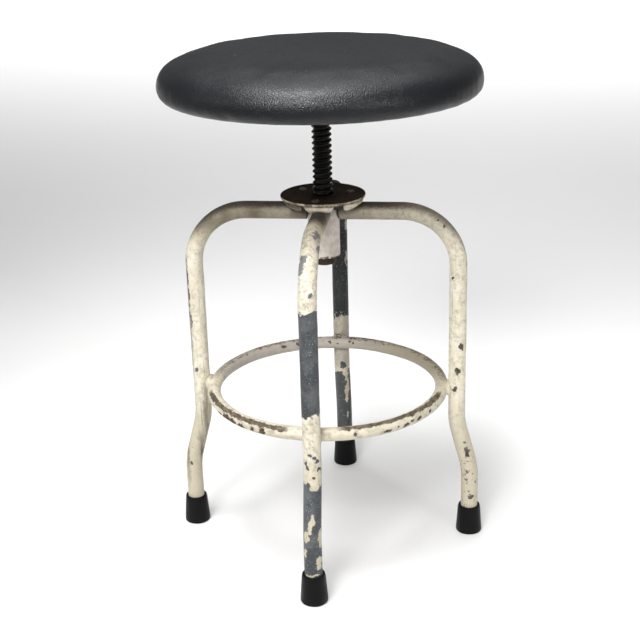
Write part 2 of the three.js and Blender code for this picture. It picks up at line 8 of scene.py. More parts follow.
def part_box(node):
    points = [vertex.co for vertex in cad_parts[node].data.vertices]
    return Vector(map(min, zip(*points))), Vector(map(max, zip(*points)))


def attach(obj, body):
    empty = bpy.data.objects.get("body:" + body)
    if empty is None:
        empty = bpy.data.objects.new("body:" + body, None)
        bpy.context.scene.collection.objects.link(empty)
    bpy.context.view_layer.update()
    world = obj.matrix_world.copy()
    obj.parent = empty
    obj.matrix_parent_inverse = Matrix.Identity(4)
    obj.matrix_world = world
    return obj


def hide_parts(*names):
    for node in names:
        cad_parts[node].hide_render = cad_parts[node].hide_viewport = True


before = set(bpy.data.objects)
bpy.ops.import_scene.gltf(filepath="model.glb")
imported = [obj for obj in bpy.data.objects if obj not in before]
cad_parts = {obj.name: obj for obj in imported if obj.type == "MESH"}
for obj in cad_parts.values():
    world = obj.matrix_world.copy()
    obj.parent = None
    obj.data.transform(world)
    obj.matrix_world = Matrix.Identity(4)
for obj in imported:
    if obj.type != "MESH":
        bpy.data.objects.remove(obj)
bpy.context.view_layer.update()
scene = bpy.context.scene
scene.view_settings.view_transform = "Standard"


# ---- Camera ----
# Stands in front of the stool, a little to the right, and looks down on it from standing height through
# a long lens, held a degree and a half out of level.
CAMERA_DISTANCE = 1.36716
CAMERA_HEIGHT = 0.79082
CAMERA_BEARING = math.radians(7.231)
CAMERA_AIM_LEFT = math.radians(0.304)
CAMERA_PITCH = math.radians(20.85)
CAMERA_ROLL = math.radians(-1.604)
camera = bpy.data.objects.new("camera", bpy.data.cameras.new("camera"))
camera.data.sensor_width = 36
camera.data.lens = 70.68
camera.matrix_world = (
    Matrix.Translation(
        (
            CAMERA_DISTANCE * math.sin(CAMERA_BEARING),
            -CAMERA_DISTANCE * math.cos(CAMERA_BEARING),
            CAMERA_HEIGHT,
        )
    )
    @ Matrix.Rotation(CAMERA_BEARING + CAMERA_AIM_LEFT, 4, "Z")
    @ Matrix.Rotation(math.pi / 2 - CAMERA_PITCH, 4, "X")
    @ Matrix.Rotation(CAMERA_ROLL, 4, "Z")
)
scene.collection.objects.link(camera)
scene.camera = camera


# ---- Floor, light and air ----
# A wide pale floor, three soft boxes in front, above and overhead, a narrow lamp to the right, a weak
# fill from the left, and a wide lamp that only lights the floor far behind.
class Finish:
    """A material being mixed: each method adds one node and gives back its result."""

    def __init__(self, name):
        self.material = bpy.data.materials.new(name)
        self.material.use_nodes = True
        self.tree = self.material.node_tree
        self.shader = self.tree.nodes["Principled BSDF"]
        self.place = self.tree.nodes.new("ShaderNodeTexCoord").outputs["Object"]

    def add(self, kind, sockets=None, **settings):
        made = self.tree.nodes.new(kind)
        for key, value in settings.items():
            setattr(made, key, value)
        for key, value in (sockets or {}).items():
            if isinstance(value, bpy.types.NodeSocket):
                self.tree.links.new(value, made.inputs[key])
            else:
                made.inputs[key].default_value = value
        return made

    def math(self, operation, first, second=0.0, clamp=False):
        sockets = {0: first, 1: second}
        return self.add("ShaderNodeMath", sockets, operation=operation, use_clamp=clamp).outputs[0]

    def plus(self, first, second):
        return self.math("ADD", first, second)

    def minus(self, first, second):
        return self.math("SUBTRACT", first, second)

    def times(self, first, second):
        return self.math("MULTIPLY", first, second)

    def most(self, first, second):
        return self.math("MAXIMUM", first, second)

    def axes(self, place=None):
        parts = self.add("ShaderNodeSeparateXYZ", {0: place or self.place}).outputs
        return parts[0], parts[1], parts[2]

    def reach(self, x, y):
        """How far a place is from the stool's upright middle line."""
        return self.math("SQRT", self.plus(self.times(x, x), self.times(y, y)))

    def vector(self, operation, first, second=(0, 0, 0)):
        made = self.add("ShaderNodeVectorMath", {0: first, 1: second}, operation=operation)
        return made.outputs["Value" if operation in ("LENGTH", "DISTANCE") else "Vector"]

    def between(self, value, low, high, to_low=0.0, to_high=1.0):
        sockets = {0: value, 1: low, 2: high, 3: to_low, 4: to_high}
        made = self.add("ShaderNodeMapRange", sockets, interpolation_type="SMOOTHSTEP")
        return made.outputs[0]

    def mix(self, share, first, second):
        sockets = {0: share, 6: as_color(first), 7: as_color(second)}
        return self.add("ShaderNodeMix", sockets, data_type="RGBA").outputs[2]

    def grain(self, scale, detail=2.0, rough=0.5, place=None, output="Fac"):
        sockets = {"Vector": place or self.place, "Scale": scale, "Detail": detail, "Roughness": rough}
        return self.add("ShaderNodeTexNoise", sockets).outputs[output]

    def cells(self, scale, feature="F1", place=None, output="Distance"):
        sockets = {"Vector": place or self.place, "Scale": scale}
        return self.add("ShaderNodeTexVoronoi", sockets, feature=feature).outputs[output]

    def mottled(self, grain, span, first, second):
        """Two tones that mingle: span is where along the grain the first gives way to the second."""
        return self.mix(self.between(self.grain(*grain), *span), first, second)

    def stretched(self, scale):
        return self.vector("MULTIPLY", self.place, scale)

    def bump(self, height, depth, strength=1.0, under=None):
        sockets = {"Height": height, "Distance": depth, "Strength": strength}
        if under:
            sockets["Normal"] = under
        return self.add("ShaderNodeBump", sockets).outputs["Normal"]

    def done(self, **sockets):
        for key, value in sockets.items():
            socket = self.shader.inputs[key.replace("_", " ")]
            if isinstance(value, bpy.types.NodeSocket):
                self.tree.links.new(value, socket)
            else:
                socket.default_value = as_color(value) if isinstance(value, tuple) else value
        return self.material


def as_color(value):
    return (*value, 1.0) if isinstance(value, tuple) and len(value) == 3 else value


FLOOR_HALF_WIDTH = 9.0
floor_mesh = bpy.data.meshes.new("floor")
floor_mesh.from_pydata(
    [(x * FLOOR_HALF_WIDTH, y * FLOOR_HALF_WIDTH, 0) for x, y in ((-1, -1), (1, -1), (1, 1), (-1, 1))],
    [],
    [(0, 1, 2, 3)],
)
floor = bpy.data.objects.new("floor", floor_mesh)
scene.collection.objects.link(floor)
FLOOR_DULL = (0.74, 0.74, 0.74)
FLOOR_PALE = (0.77, 0.77, 0.77)
floor_finish = Finish("pale_floor")
floor_tone = floor_finish.mix(floor_finish.grain(1.5), FLOOR_DULL, FLOOR_PALE)
floor_mesh.materials.append(floor_finish.done(Base_Color=floor_tone, Roughness=0.9))


def soft_box(name, size, power, at, towards=(0, 0, 0.4), size_y=None, spread=180):
    data = bpy.data.lights.new(name, "AREA")
    data.shape = "RECTANGLE"
    data.size = size
    data.size_y = size_y or size
    data.energy = power
    data.spread = math.radians(spread)
    lamp = bpy.data.objects.new(name, data)
    lamp.location = at
    lamp.rotation_euler = (Vector(towards) - Vector(at)).to_track_quat("-Z", "Y").to_euler()
    scene.collection.objects.link(lamp)


soft_box("front_box", 1.2, 4.8, (-0.45, -2.3, 2.0), towards=(0, 0.1, 0.36), size_y=0.8, spread=38)
soft_box("high_box", 1.2, 6.4, (-0.26, -0.55, 2.5), towards=(0, -0.1, 0.55), size_y=1.0, spread=50)
soft_box("over_box", 1.5, 5, (-0.05, 0.5, 2.7), towards=(0, 0, 0.4), size_y=1.5, spread=100)
soft_box("right_lamp", 0.06, 9, (1.6, -1.5, 0.9))
soft_box("left_fill", 0.8, 4, (-2.0, -1.0, 1.2))
soft_box("far_floor_lamp", 7.0, 300, (0, 6.0, 4.5), towards=(0, 6.0, 0), spread=98)
air = bpy.data.worlds.new("air")
air.use_nodes = True
air.node_tree.nodes["Background"].inputs["Color"].default_value = (1.0, 1.0, 1.0, 1.0)
air.node_tree.nodes["Background"].inputs["Strength"].default_value = 0.15
scene.world = air


# ---- Legs ----
# Four lengths of 20 mm steel tube, each bent cold on a former: a level arm, a wide top bend, an upright
# and a small kick at the foot. Slate undercoat and cream enamel went over them by brush, and both are
# chipped, down to slate in long patches and down to brown rust in spots.
TUBE_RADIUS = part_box("leg_front")[1].x
ARM_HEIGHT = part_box("leg_right")[1].z - TUBE_RADIUS
FOOT_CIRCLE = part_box("leg_right")[1].x - TUBE_RADIUS
LEG_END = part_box("leg_right")[0].z
KICK_OUT = 0.0165
UPRIGHT_RADIUS = FOOT_CIRCLE - KICK_OUT
TOP_BEND = 0.064
KICK_START = 0.158
KICK_ANGLE = math.radians(15)
KICK_BEND = 0.090
SLEEVE_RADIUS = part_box("hub_sleeve")[1].x
COPE_GAP = 0.001
TUBE_WALL = 0.0015
TUBE_SIDES = 40
TUBE_STEP = 0.0024
BORE_DEPTH = 0.012
LEG_BEARINGS = {"front": -90, "right": 0, "back": 90, "left": 180}


def shaded(tone, share):
    return tuple(value * share for value in tone)


CREAM = (0.68, 0.62, 0.47)
CREAM_DULL = (0.47, 0.42, 0.31)
CREAM_WHITE = (0.76, 0.71, 0.60)
CREAM_STAIN = (0.33, 0.29, 0.21)
CREAM_SHADED = (0.30, 0.27, 0.225)
CRACK_BROWN = (0.16, 0.13, 0.09)
SPECK_BROWN = (0.30, 0.25, 0.18)
GREY_BROWN = (0.17, 0.145, 0.105)
SLATE = (0.078, 0.087, 0.097)
SLATE_PALE = (0.165, 0.178, 0.185)
# A less darkened pale slate for the lower end of the back leg: lighter painted shade.
SLATE_LESS_SHADED = shaded(SLATE_PALE, 0.38)
SLATE_SCRAPED = (0.24, 0.235, 0.235)
SLATE_SPECK = (0.40, 0.42, 0.41)
RUST_DARK = (0.036, 0.025, 0.019)
RUST_WARM = (0.125, 0.072, 0.042)
# Grime round the hub, and painted shade where the seat and plate keep the light off.
HUB_GRIME_AND_SHADE = (0.022, 0.018, 0.013)
HUB_FILM = (0.088, 0.066, 0.034)
SCORCHED = (0.012, 0.010, 0.008)


def bent_line(start, moves):
    """Points of a line bent in the XZ plane, with the way it heads at each: (x, z, heading)."""
    x, z = start
    heading = 0.0
    line = [(x, z, heading)]
    for length, turn, bend in moves:
        length = length if bend == 0 else abs(turn) * bend
        steps = max(1, round(length / TUBE_STEP))
        for _ in range(steps):
            middle = heading + turn / steps / 2
            x += length / steps * math.cos(middle)
            z += length / steps * math.sin(middle)
            heading += turn / steps
            line.append((x, z, heading))
    return line


def leg_line():
    arc_offset = 2 * KICK_BEND * (1 - math.cos(KICK_ANGLE))
    slant = (KICK_OUT - arc_offset) / math.sin(KICK_ANGLE)
    kick_drop = 2 * KICK_BEND * math.sin(KICK_ANGLE) + slant * math.cos(KICK_ANGLE)
    start = SLEEVE_RADIUS + COPE_GAP
    moves = [
        (UPRIGHT_RADIUS - TOP_BEND - start, 0, 0),
        (0, -math.pi / 2, TOP_BEND),
        (ARM_HEIGHT - TOP_BEND - KICK_START, 0, 0),
        (0, KICK_ANGLE, KICK_BEND),
        (slant, 0, 0),
        (0, -KICK_ANGLE, KICK_BEND),
        (KICK_START - kick_drop - LEG_END, 0, 0),
    ]
    return bent_line((start, ARM_HEIGHT), moves)


def polar(radius, angle, height):
    """A point at a reach and an angle about the stool's upright middle line."""
    return Vector((radius * math.cos(angle), radius * math.sin(angle), height))


def ring_faces(rings, sides):
    faces = []
    for ring in range(rings - 1):
        for side in range(sides):
            after = (side + 1) % sides
            low = ring * sides
            faces.append((low + side, low + after, low + sides + after, low + sides + side))
    return faces


def piece(name, points, faces, material, body, replaces=(), crease=38):
    """A finished mesh object that rides on a body. Edges sharper than crease degrees stay crisp."""
    mesh = bpy.data.meshes.new(name)
    mesh.from_pydata([tuple(point) for point in points], [], faces)
    mesh.validate()
    mesh.shade_smooth()
    mesh.set_sharp_from_angle(angle=math.radians(crease))
    mesh.materials.append(material)
    made = bpy.data.objects.new(name, mesh)
    scene.collection.objects.link(made)
    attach(made, body)
    if replaces:
        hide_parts(*replaces)
    return made


def leg_tube(side, bearing, material):
    turn = Matrix.Rotation(math.radians(bearing), 3, "Z")
    points = []
    line = leg_line()
    for index, (x, z, heading) in enumerate(line):
        across = Vector((0, 1, 0))
        upwards = Vector((-math.sin(heading), 0, math.cos(heading)))
        bending = 1 - abs(math.cos(2 * heading)) if -math.pi / 2 <= heading <= 0 else 0
        for corner in range(TUBE_SIDES):
            angle = 2 * math.pi * corner / TUBE_SIDES
            flat = 1 - 0.03 * bending * abs(math.sin(angle))
            radial = across * math.cos(angle) + upwards * math.sin(angle) * flat
            place = Vector((x, 0, z)) + radial * TUBE_RADIUS
            wobble = noise.noise(place * 60 + Vector((bearing, 0, 0))) * 0.00016
            place += radial * wobble
            if index == 0:
                place.x = math.sqrt((SLEEVE_RADIUS + COPE_GAP) ** 2 - place.y**2)
            points.append(turn @ place)
    rings = len(line)
    faces = ring_faces(rings, TUBE_SIDES)
    # The bore shows where the arm's end stands off the sleeve, so the open end has a wall and a depth.
    for depth in (0.0, BORE_DEPTH):
        for corner in range(TUBE_SIDES):
            angle = 2 * math.pi * corner / TUBE_SIDES
            y = math.cos(angle) * (TUBE_RADIUS - TUBE_WALL)
            z = math.sin(angle) * (TUBE_RADIUS - TUBE_WALL)
            x = math.sqrt((SLEEVE_RADIUS + COPE_GAP) ** 2 - y * y) + depth
            points.append(turn @ Vector((x, y, ARM_HEIGHT + z)))
    mouth = rings * TUBE_SIDES
    for corner in range(TUBE_SIDES):
        after = (corner + 1) % TUBE_SIDES
        inner = mouth + TUBE_SIDES
        faces.append((after, corner, mouth + corner, mouth + after))
        faces.append((mouth + after, mouth + corner, inner + corner, inner + after))
    faces.append(tuple(range(mouth + TUBE_SIDES, mouth + 2 * TUBE_SIDES)))
    foot_end = (rings - 1) * TUBE_SIDES
    faces.append(tuple(range(foot_end, foot_end + TUBE_SIDES)))
    piece(f"leg_{side}_tube", points, faces, material, "frame", [f"leg_{side}"])


def spots_field(finish, place, spots):
    """How far a place is outside the nearest of some oval spots, in spot radii: below 0 is inside one."""
    nearest = None
    for centre, size in spots:
        offset = finish.vector("SUBTRACT", place, tuple(value / 1000 for value in centre))
        scaled = finish.vector("DIVIDE", offset, tuple(value / 1000 for value in size))
        away = finish.minus(finish.vector("LENGTH", scaled), 1.0)
        nearest = away if nearest is None else finish.math("MINIMUM", nearest, away)
    return nearest


def bands_field(finish, height, bands):
    """The same for level bands of a leg, each given by its lower and upper height in millimetres."""
    nearest = None
    for low, high in bands:
        middle, half = (low + high) / 2000, (high - low) / 2000
        offset = finish.math("ABSOLUTE", finish.minus(height, middle))
        away = finish.math("DIVIDE", finish.minus(offset, half), 0.006)
        nearest = away if nearest is None else finish.math("MINIMUM", nearest, away)
    return nearest


def worn_spots(paint, place, fine, spots):
    """1 inside the spots and 0 outside, with a frayed edge."""
    frayed = paint.plus(spots_field(paint, place, spots), paint.times(fine, 0.9))
    return paint.between(frayed, 0.53, 0.37)


def enamel(name, look, slate_bands=(), slate_spots=(), cream_spots=(), rust_spots=(), stains_and_edge_shade=()):
    """Old brushed enamel: cream over slate over rusted steel. The look says how chipped and mottled the
    coat is and how pale its undercoat, which is painted dark as shade on the back leg; how far soot,
    grime, painted shade from the seat and a brown oily film spread from the hub; how much rust peppers
    the lower end; how the undercoat is scraped above and how much of its painted shade is lifted below;
    and how much painted shade darkens the upper cream."""
    chips, mottle, soot_and_shade = (look[key] for key in ("chips", "mottle", "soot_and_shade"))
    paint = Finish(name)
    ragged = paint.grain(110, 5, 0.68, output="Color")
    shift = paint.vector("MULTIPLY", paint.vector("SUBTRACT", ragged, (0.5, 0.5, 0.5)), (0.012,) * 3)
    place = paint.vector("ADD", paint.place, shift)
    height = paint.axes(place)[2]
    fine = paint.grain(330, 4, 0.62)
    broad = paint.grain(21, 3, 0.55)

    # Random chips: small islands that gather where the coat is weak.
    weak = paint.between(broad, 0.46, 0.60, 0.0, 0.07 + 0.05 * chips)
    island = paint.plus(paint.grain(230, 3, 0.6), weak)
    slate = paint.between(island, 0.80 - 0.13 * chips, 0.815 - 0.13 * chips)
    if slate_bands:
        edge = paint.plus(bands_field(paint, height, slate_bands), paint.times(fine, 0.6))
        edge = paint.plus(edge, paint.times(paint.grain(80, 4, 0.62), 7.0))
        slate = paint.most(slate, paint.between(edge, 3.86, 3.70))
    if slate_spots:
        slate = paint.most(slate, worn_spots(paint, place, fine, slate_spots))
    # Cream that clings on inside the slate.
    flakes = paint.grain(170, 4, 0.66)
    cling = paint.between(flakes, 0.70, 0.715)
    if cream_spots:
        cling = paint.most(cling, worn_spots(paint, place, fine, cream_spots))
    slate = paint.math("MULTIPLY", slate, paint.minus(1.0, cling), clamp=True)

    pits = paint.plus(paint.grain(260, 5, 0.7), paint.times(weak, 0.5))
    pits = paint.plus(pits, paint.between(height, 0.135, 0.100, 0.0, look["pepper"]))
    rust = paint.between(pits, 0.80 - 0.06 * chips, 0.815 - 0.06 * chips)
    if rust_spots:
        rust = paint.most(rust, worn_spots(paint, place, fine, rust_spots))

    cream = paint.mottled((55, 7, 0.66), (0.34, 0.68), CREAM_WHITE, CREAM)
    runs = paint.grain(1.0, 6, 0.66, paint.stretched((190, 190, 14)))
    cream = paint.mix(paint.between(runs, 0.50, 0.72, 0, 0.55), cream, CREAM_DULL)
    blotch = paint.grain(170, 6, 0.74)
    cream = paint.mix(paint.between(blotch, 0.47, 0.64, 0, mottle), cream, CREAM_STAIN)
    cream = paint.mottled((290, 5, 0.7), (0.56, 0.66, 0, mottle), cream, CREAM_WHITE)
    # Towards the foot the cream is darkened: painted shade low down.
    cream = paint.mix(paint.between(height, 0.200, 0.110, 0, 0.85), cream, CREAM_DULL)
    # Higher up, the cream can be mixed into a shaded copy: painted shade, used on the back leg.
    cream = paint.mix(paint.between(height, 0.140, 0.160, 0, look["cream_shade"]), cream, CREAM_SHADED)
    # Stain spots; on the left leg they also paint shade down the tube's inner and outer edges.
    if stains_and_edge_shade:
        stain_and_shade = paint.between(spots_field(paint, place, stains_and_edge_shade), 0.5, -0.7, 0.0, 0.95)
        stain_and_shade = paint.times(stain_and_shade, paint.between(runs, 0.34, 0.56))
        cream = paint.mix(stain_and_shade, cream, GREY_BROWN)
    cracks = paint.grain(1.0, 4, 0.6, paint.stretched((430, 430, 11)))
    cream = paint.mix(paint.between(cracks, 0.64, 0.70, 0, 0.65), cream, CRACK_BROWN)
    specks = paint.grain(640, 2, 0.5)
    cream = paint.mix(paint.between(specks, 0.66, 0.70, 0, 0.6), cream, SPECK_BROWN)
    # A low under share paints the undercoat dark as shade on the back leg; lower down that is lifted.
    slate_dark = shaded(SLATE, look["under"])
    slate_pale = shaded(SLATE_PALE, look["under"])
    undercoat = paint.mottled((48, 6, 0.66), (0.38, 0.60), slate_dark, slate_pale)
    less_shade_low = paint.between(height, 0.190, 0.150, 0, look["less_shade_low"])
    undercoat = paint.mix(less_shade_low, undercoat, SLATE_LESS_SHADED)
    scraped = paint.between(height, 0.345, 0.372, 0, look["scraped"])
    undercoat = paint.mix(scraped, undercoat, SLATE_SCRAPED)
    undercoat = paint.mix(paint.between(runs, 0.56, 0.70, 0, 0.5), undercoat, slate_dark)
    undercoat = paint.mix(paint.between(specks, 0.66, 0.70, 0, 0.7), undercoat, SLATE_SPECK)
    rusted = paint.mottled((420, 4), (0.4, 0.62), RUST_DARK, RUST_WARM)
    rust_rim = paint.between(rust, 0.0, 0.5)
    color = paint.mix(rust_rim, paint.mix(slate, cream, undercoat), rusted)

    # Soot and hand grime lie on every side that faces up, and thickest near the hub. The same mask lays
    # painted shade there, where the seat and plate keep the light off the arms' tops.
    x, y, z = paint.axes()
    reach = paint.reach(x, y)
    facing = paint.add("ShaderNodeTexCoord").outputs["Normal"]
    upwards = paint.axes(facing)[2]
    near_hub = paint.between(reach, 0.090 + 0.060 * soot_and_shade, 0.060, soot_and_shade, 1.0)
    settled_grime_and_shade = paint.between(paint.plus(upwards, paint.times(fine, 0.6)), 0.38, 1.12)
    high = paint.between(z, 0.330, 0.372)
    grime_and_shade = paint.times(paint.times(near_hub, high), settled_grime_and_shade)
    film = paint.times(near_hub, paint.between(z, *look["film_height"]))
    film = paint.times(film, paint.between(broad, 0.30, 0.62, 0.72, 1.0))
    color = paint.mix(paint.times(film, look["film"]), color, HUB_FILM)
    color = paint.mix(paint.times(grime_and_shade, 0.97), color, HUB_GRIME_AND_SHADE)
    scorched = paint.between(reach, SLEEVE_RADIUS + 0.0032, SLEEVE_RADIUS + 0.0022, 0, 0.95)
    color = paint.mix(scorched, color, SCORCHED)

    level = paint.minus(1.0, paint.times(slate, 0.45))
    level = paint.minus(level, paint.times(rust, 0.8))
    brush = paint.grain(420, 4, 0.6)
    soft = paint.bump(paint.grain(70, 3, 0.5), 0.0006, 0.4)
    normal = paint.bump(brush, 0.00012, 0.6, paint.bump(level, 0.00034, 0.9, soft))
    rough = paint.plus(paint.times(slate, 0.10), paint.times(rust, 0.3))
    rough = paint.plus(rough, paint.between(fine, 0.2, 0.8, 0.36, 0.52))
    rough = paint.math("ADD", rough, paint.times(grime_and_shade, 0.4), clamp=True)
    return paint.done(Base_Color=color, Roughness=rough, Normal=normal, IOR=1.45)


# What a leg's coat is like, unless its own list says otherwise.
LOOK = {
    "under": 0.7,
    "soot_and_shade": 0.65,
    "film": 0.9,
    "film_height": (0.386, 0.403),
    "pepper": 0.0,
    "scraped": 0.0,
    "less_shade_low": 0.0,
    "cream_shade": 0.0,
}
leg_enamel = {
    "front": enamel(
        "front_leg_enamel",
        {**LOOK, "chips": 0.35, "mottle": 0.8, "under": 0.56, "soot_and_shade": 0.12, "scraped": 0.8},
        slate_bands=[(219, 339), (30, 140)],
        slate_spots=[
            ((1, -107, 406.5), (5.5, 8, 3)),
            ((6, -111, 404.5), (4, 8, 2.8)),
            ((9, -124, 397), (2.6, 6, 4)),
            ((-5.5, -138, 389), (4.4, 8, 5)),
            ((-7.5, -146, 381), (3.4, 8, 7)),
            ((4, -160, 357), (2.4, 4, 3.6)),
            ((-1, -162, 176), (2, 4, 1.8)),
            ((2.5, -162, 172), (2.6, 4, 2)),
            ((6, -160, 168), (2.4, 4, 2.4)),
            ((-7, -160, 166), (2.4, 5, 3)),
            ((-4.5, -161, 161), (2.4, 5, 3.6)),
            ((8.5, -157, 158), (1.4, 4, 3)),
        ],
        cream_spots=[
            ((1, -174, 104), (2, 6, 7)),
            ((-2, -176, 95), (2.5, 6, 8)),
            ((-6, -176, 84), (3, 6, 7)),
            ((9, -171, 80), (2.5, 7, 12)),
            ((8, -174, 51), (3, 6, 8)),
            ((-7, -176, 64), (2, 6, 5)),
            ((0, -178, 37), (9, 6, 1.6)),
        ],
        rust_spots=[((3.5, -162, 149.5), (1.6, 3, 1.8)), ((2, -162, 228), (1, 3, 1))],
    ),
    "right": enamel(
        "right_leg_enamel",
        {
            **LOOK,
            "chips": 0.22,
            "mottle": 0.6,
            "film": 0.75,
            "film_height": (0.355, 0.392),
            "pepper": 0.15,
        },
        slate_spots=[
            ((156.5, -9, 244), (3, 4, 5)),
            ((153, -10, 213.5), (3, 4, 4.5)),
            ((165.4, -9.4, 109), (3.2, 5, 7)),
            ((163.5, -9.4, 120), (1.6, 4, 1.6)),
            ((166, -9.6, 83), (2, 3, 2.5)),
            ((165, -9, 71.6), (1.5, 3, 1.5)),
            ((170, -9.8, 50.5), (3.2, 4, 2.8)),
        ],
        rust_spots=[
            ((156.8, -9, 243), (2.6, 3, 4.4)),
            ((153.4, -10, 214), (2.2, 3, 3.6)),
            ((165.8, -9.4, 108), (2.6, 4, 5.6)),
            ((170.4, -9.8, 50.5), (2.2, 3, 1.8)),
            ((129, -9, 393), (1.3, 3, 1.3)),
            ((136, -9, 387), (1.6, 3, 1.6)),
            ((146.4, -7.8, 326.6), (1.2, 3, 2)),
            ((150.3, -9.6, 191.5), (2.4, 3, 3)),
            ((149, -9.6, 188.5), (2.2, 3, 1.8)),
            ((163, -9.3, 121), (1, 3, 1)),
            ((176, -5.5, 70), (1, 3, 2.5)),
        ],
    ),
    # The back leg's undercoat and upper cream are painted dark as shade, and less so low down.
    "back": enamel(
        "back_leg_enamel",
        {
            **LOOK,
            "chips": 0.30,
            "mottle": 0.9,
            "under": 0.13,
            "soot_and_shade": 1.0,
            "film_height": (0.340, 0.380),
            "less_shade_low": 0.8,
            "cream_shade": 0.7,
        },
        slate_bands=[(218, 402), (20, 142)],
        slate_spots=[((2.3, 143, 152.6), (4.2, 5, 5.5))],
        cream_spots=[
            ((6.6, 148.5, 134), (1.8, 7, 14)),
            ((6, 152.5, 114), (2.6, 7, 13)),
            ((4.6, 155, 101), (1.5, 6, 8)),
            ((9.4, 148, 341), (1.8, 6, 8)),
            ((9, 147, 298), (1.6, 6, 11)),
            ((6, 161, 74), (1.2, 5, 5)),
        ],
    ),
    "left": enamel(
        "left_leg_enamel",
        {
            **LOOK,
            "chips": 0.16,
            "mottle": 0.55,
            "soot_and_shade": 0.85,
            "film": 1.0,
            "film_height": (0.355, 0.392),
            "pepper": 0.05,
        },
        slate_spots=[
            ((-161.5, -4, 306), (2.5, 6, 44)),
            ((-155.4, -9.4, 207), (1.8, 3, 2.8)),
        ],
        # Brown stains along the upright's inner and outer edges, partly painted shade on the tube's
        # sides.
        stains_and_edge_shade=[
            ((-147, -7, 150), (5, 8, 42)),
            ((-162, -4, 250), (3.5, 8, 110)),
            ((-155, -4, 105), (6, 8, 30)),
            ((-175, -6, 90), (4, 8, 40)),
        ],
        rust_spots=[
            ((-169.3, -9.8, 82.4), (2.4, 3, 2.6)),
            ((-162, -4, 318), (1.4, 4, 10)),
            ((-159.6, -7, 297), (1.0, 3, 11)),
            ((-158.6, -7.7, 268), (0.9, 3, 9)),
            ((-161.5, -5, 291), (1.2, 4, 6)),
            ((-157, -5.6, 98.5), (0.8, 3, 6)),
        ],
    ),
}
for side, bearing in LEG_BEARINGS.items():
    leg_tube(side, bearing, leg_enamel[side])


# ---- Foot ring ----
# A 16 mm round bar rolled into a hoop and butt-welded, then welded to the inner side of each upright.
# Shoes have worn the enamel off the top of its front half, down to brown steel.
RING_BAR = (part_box("foot_ring")[1].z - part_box("foot_ring")[0].z) / 2
RING_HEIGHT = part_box("foot_ring")[0].z + RING_BAR
RING_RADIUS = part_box("foot_ring")[1].x - RING_BAR
RING_STEPS = 260
RING_SIDES = 28


# Tones for the ring's far half: painted shade.
RING_BACK_SHADE_GREY = (0.31, 0.285, 0.265)
RING_BACK_SHADE_BROWN = (0.25, 0.215, 0.150)
WORN_STEEL_DARK = (0.062, 0.045, 0.030)
WORN_STEEL_PALE = (0.16, 0.125, 0.090)


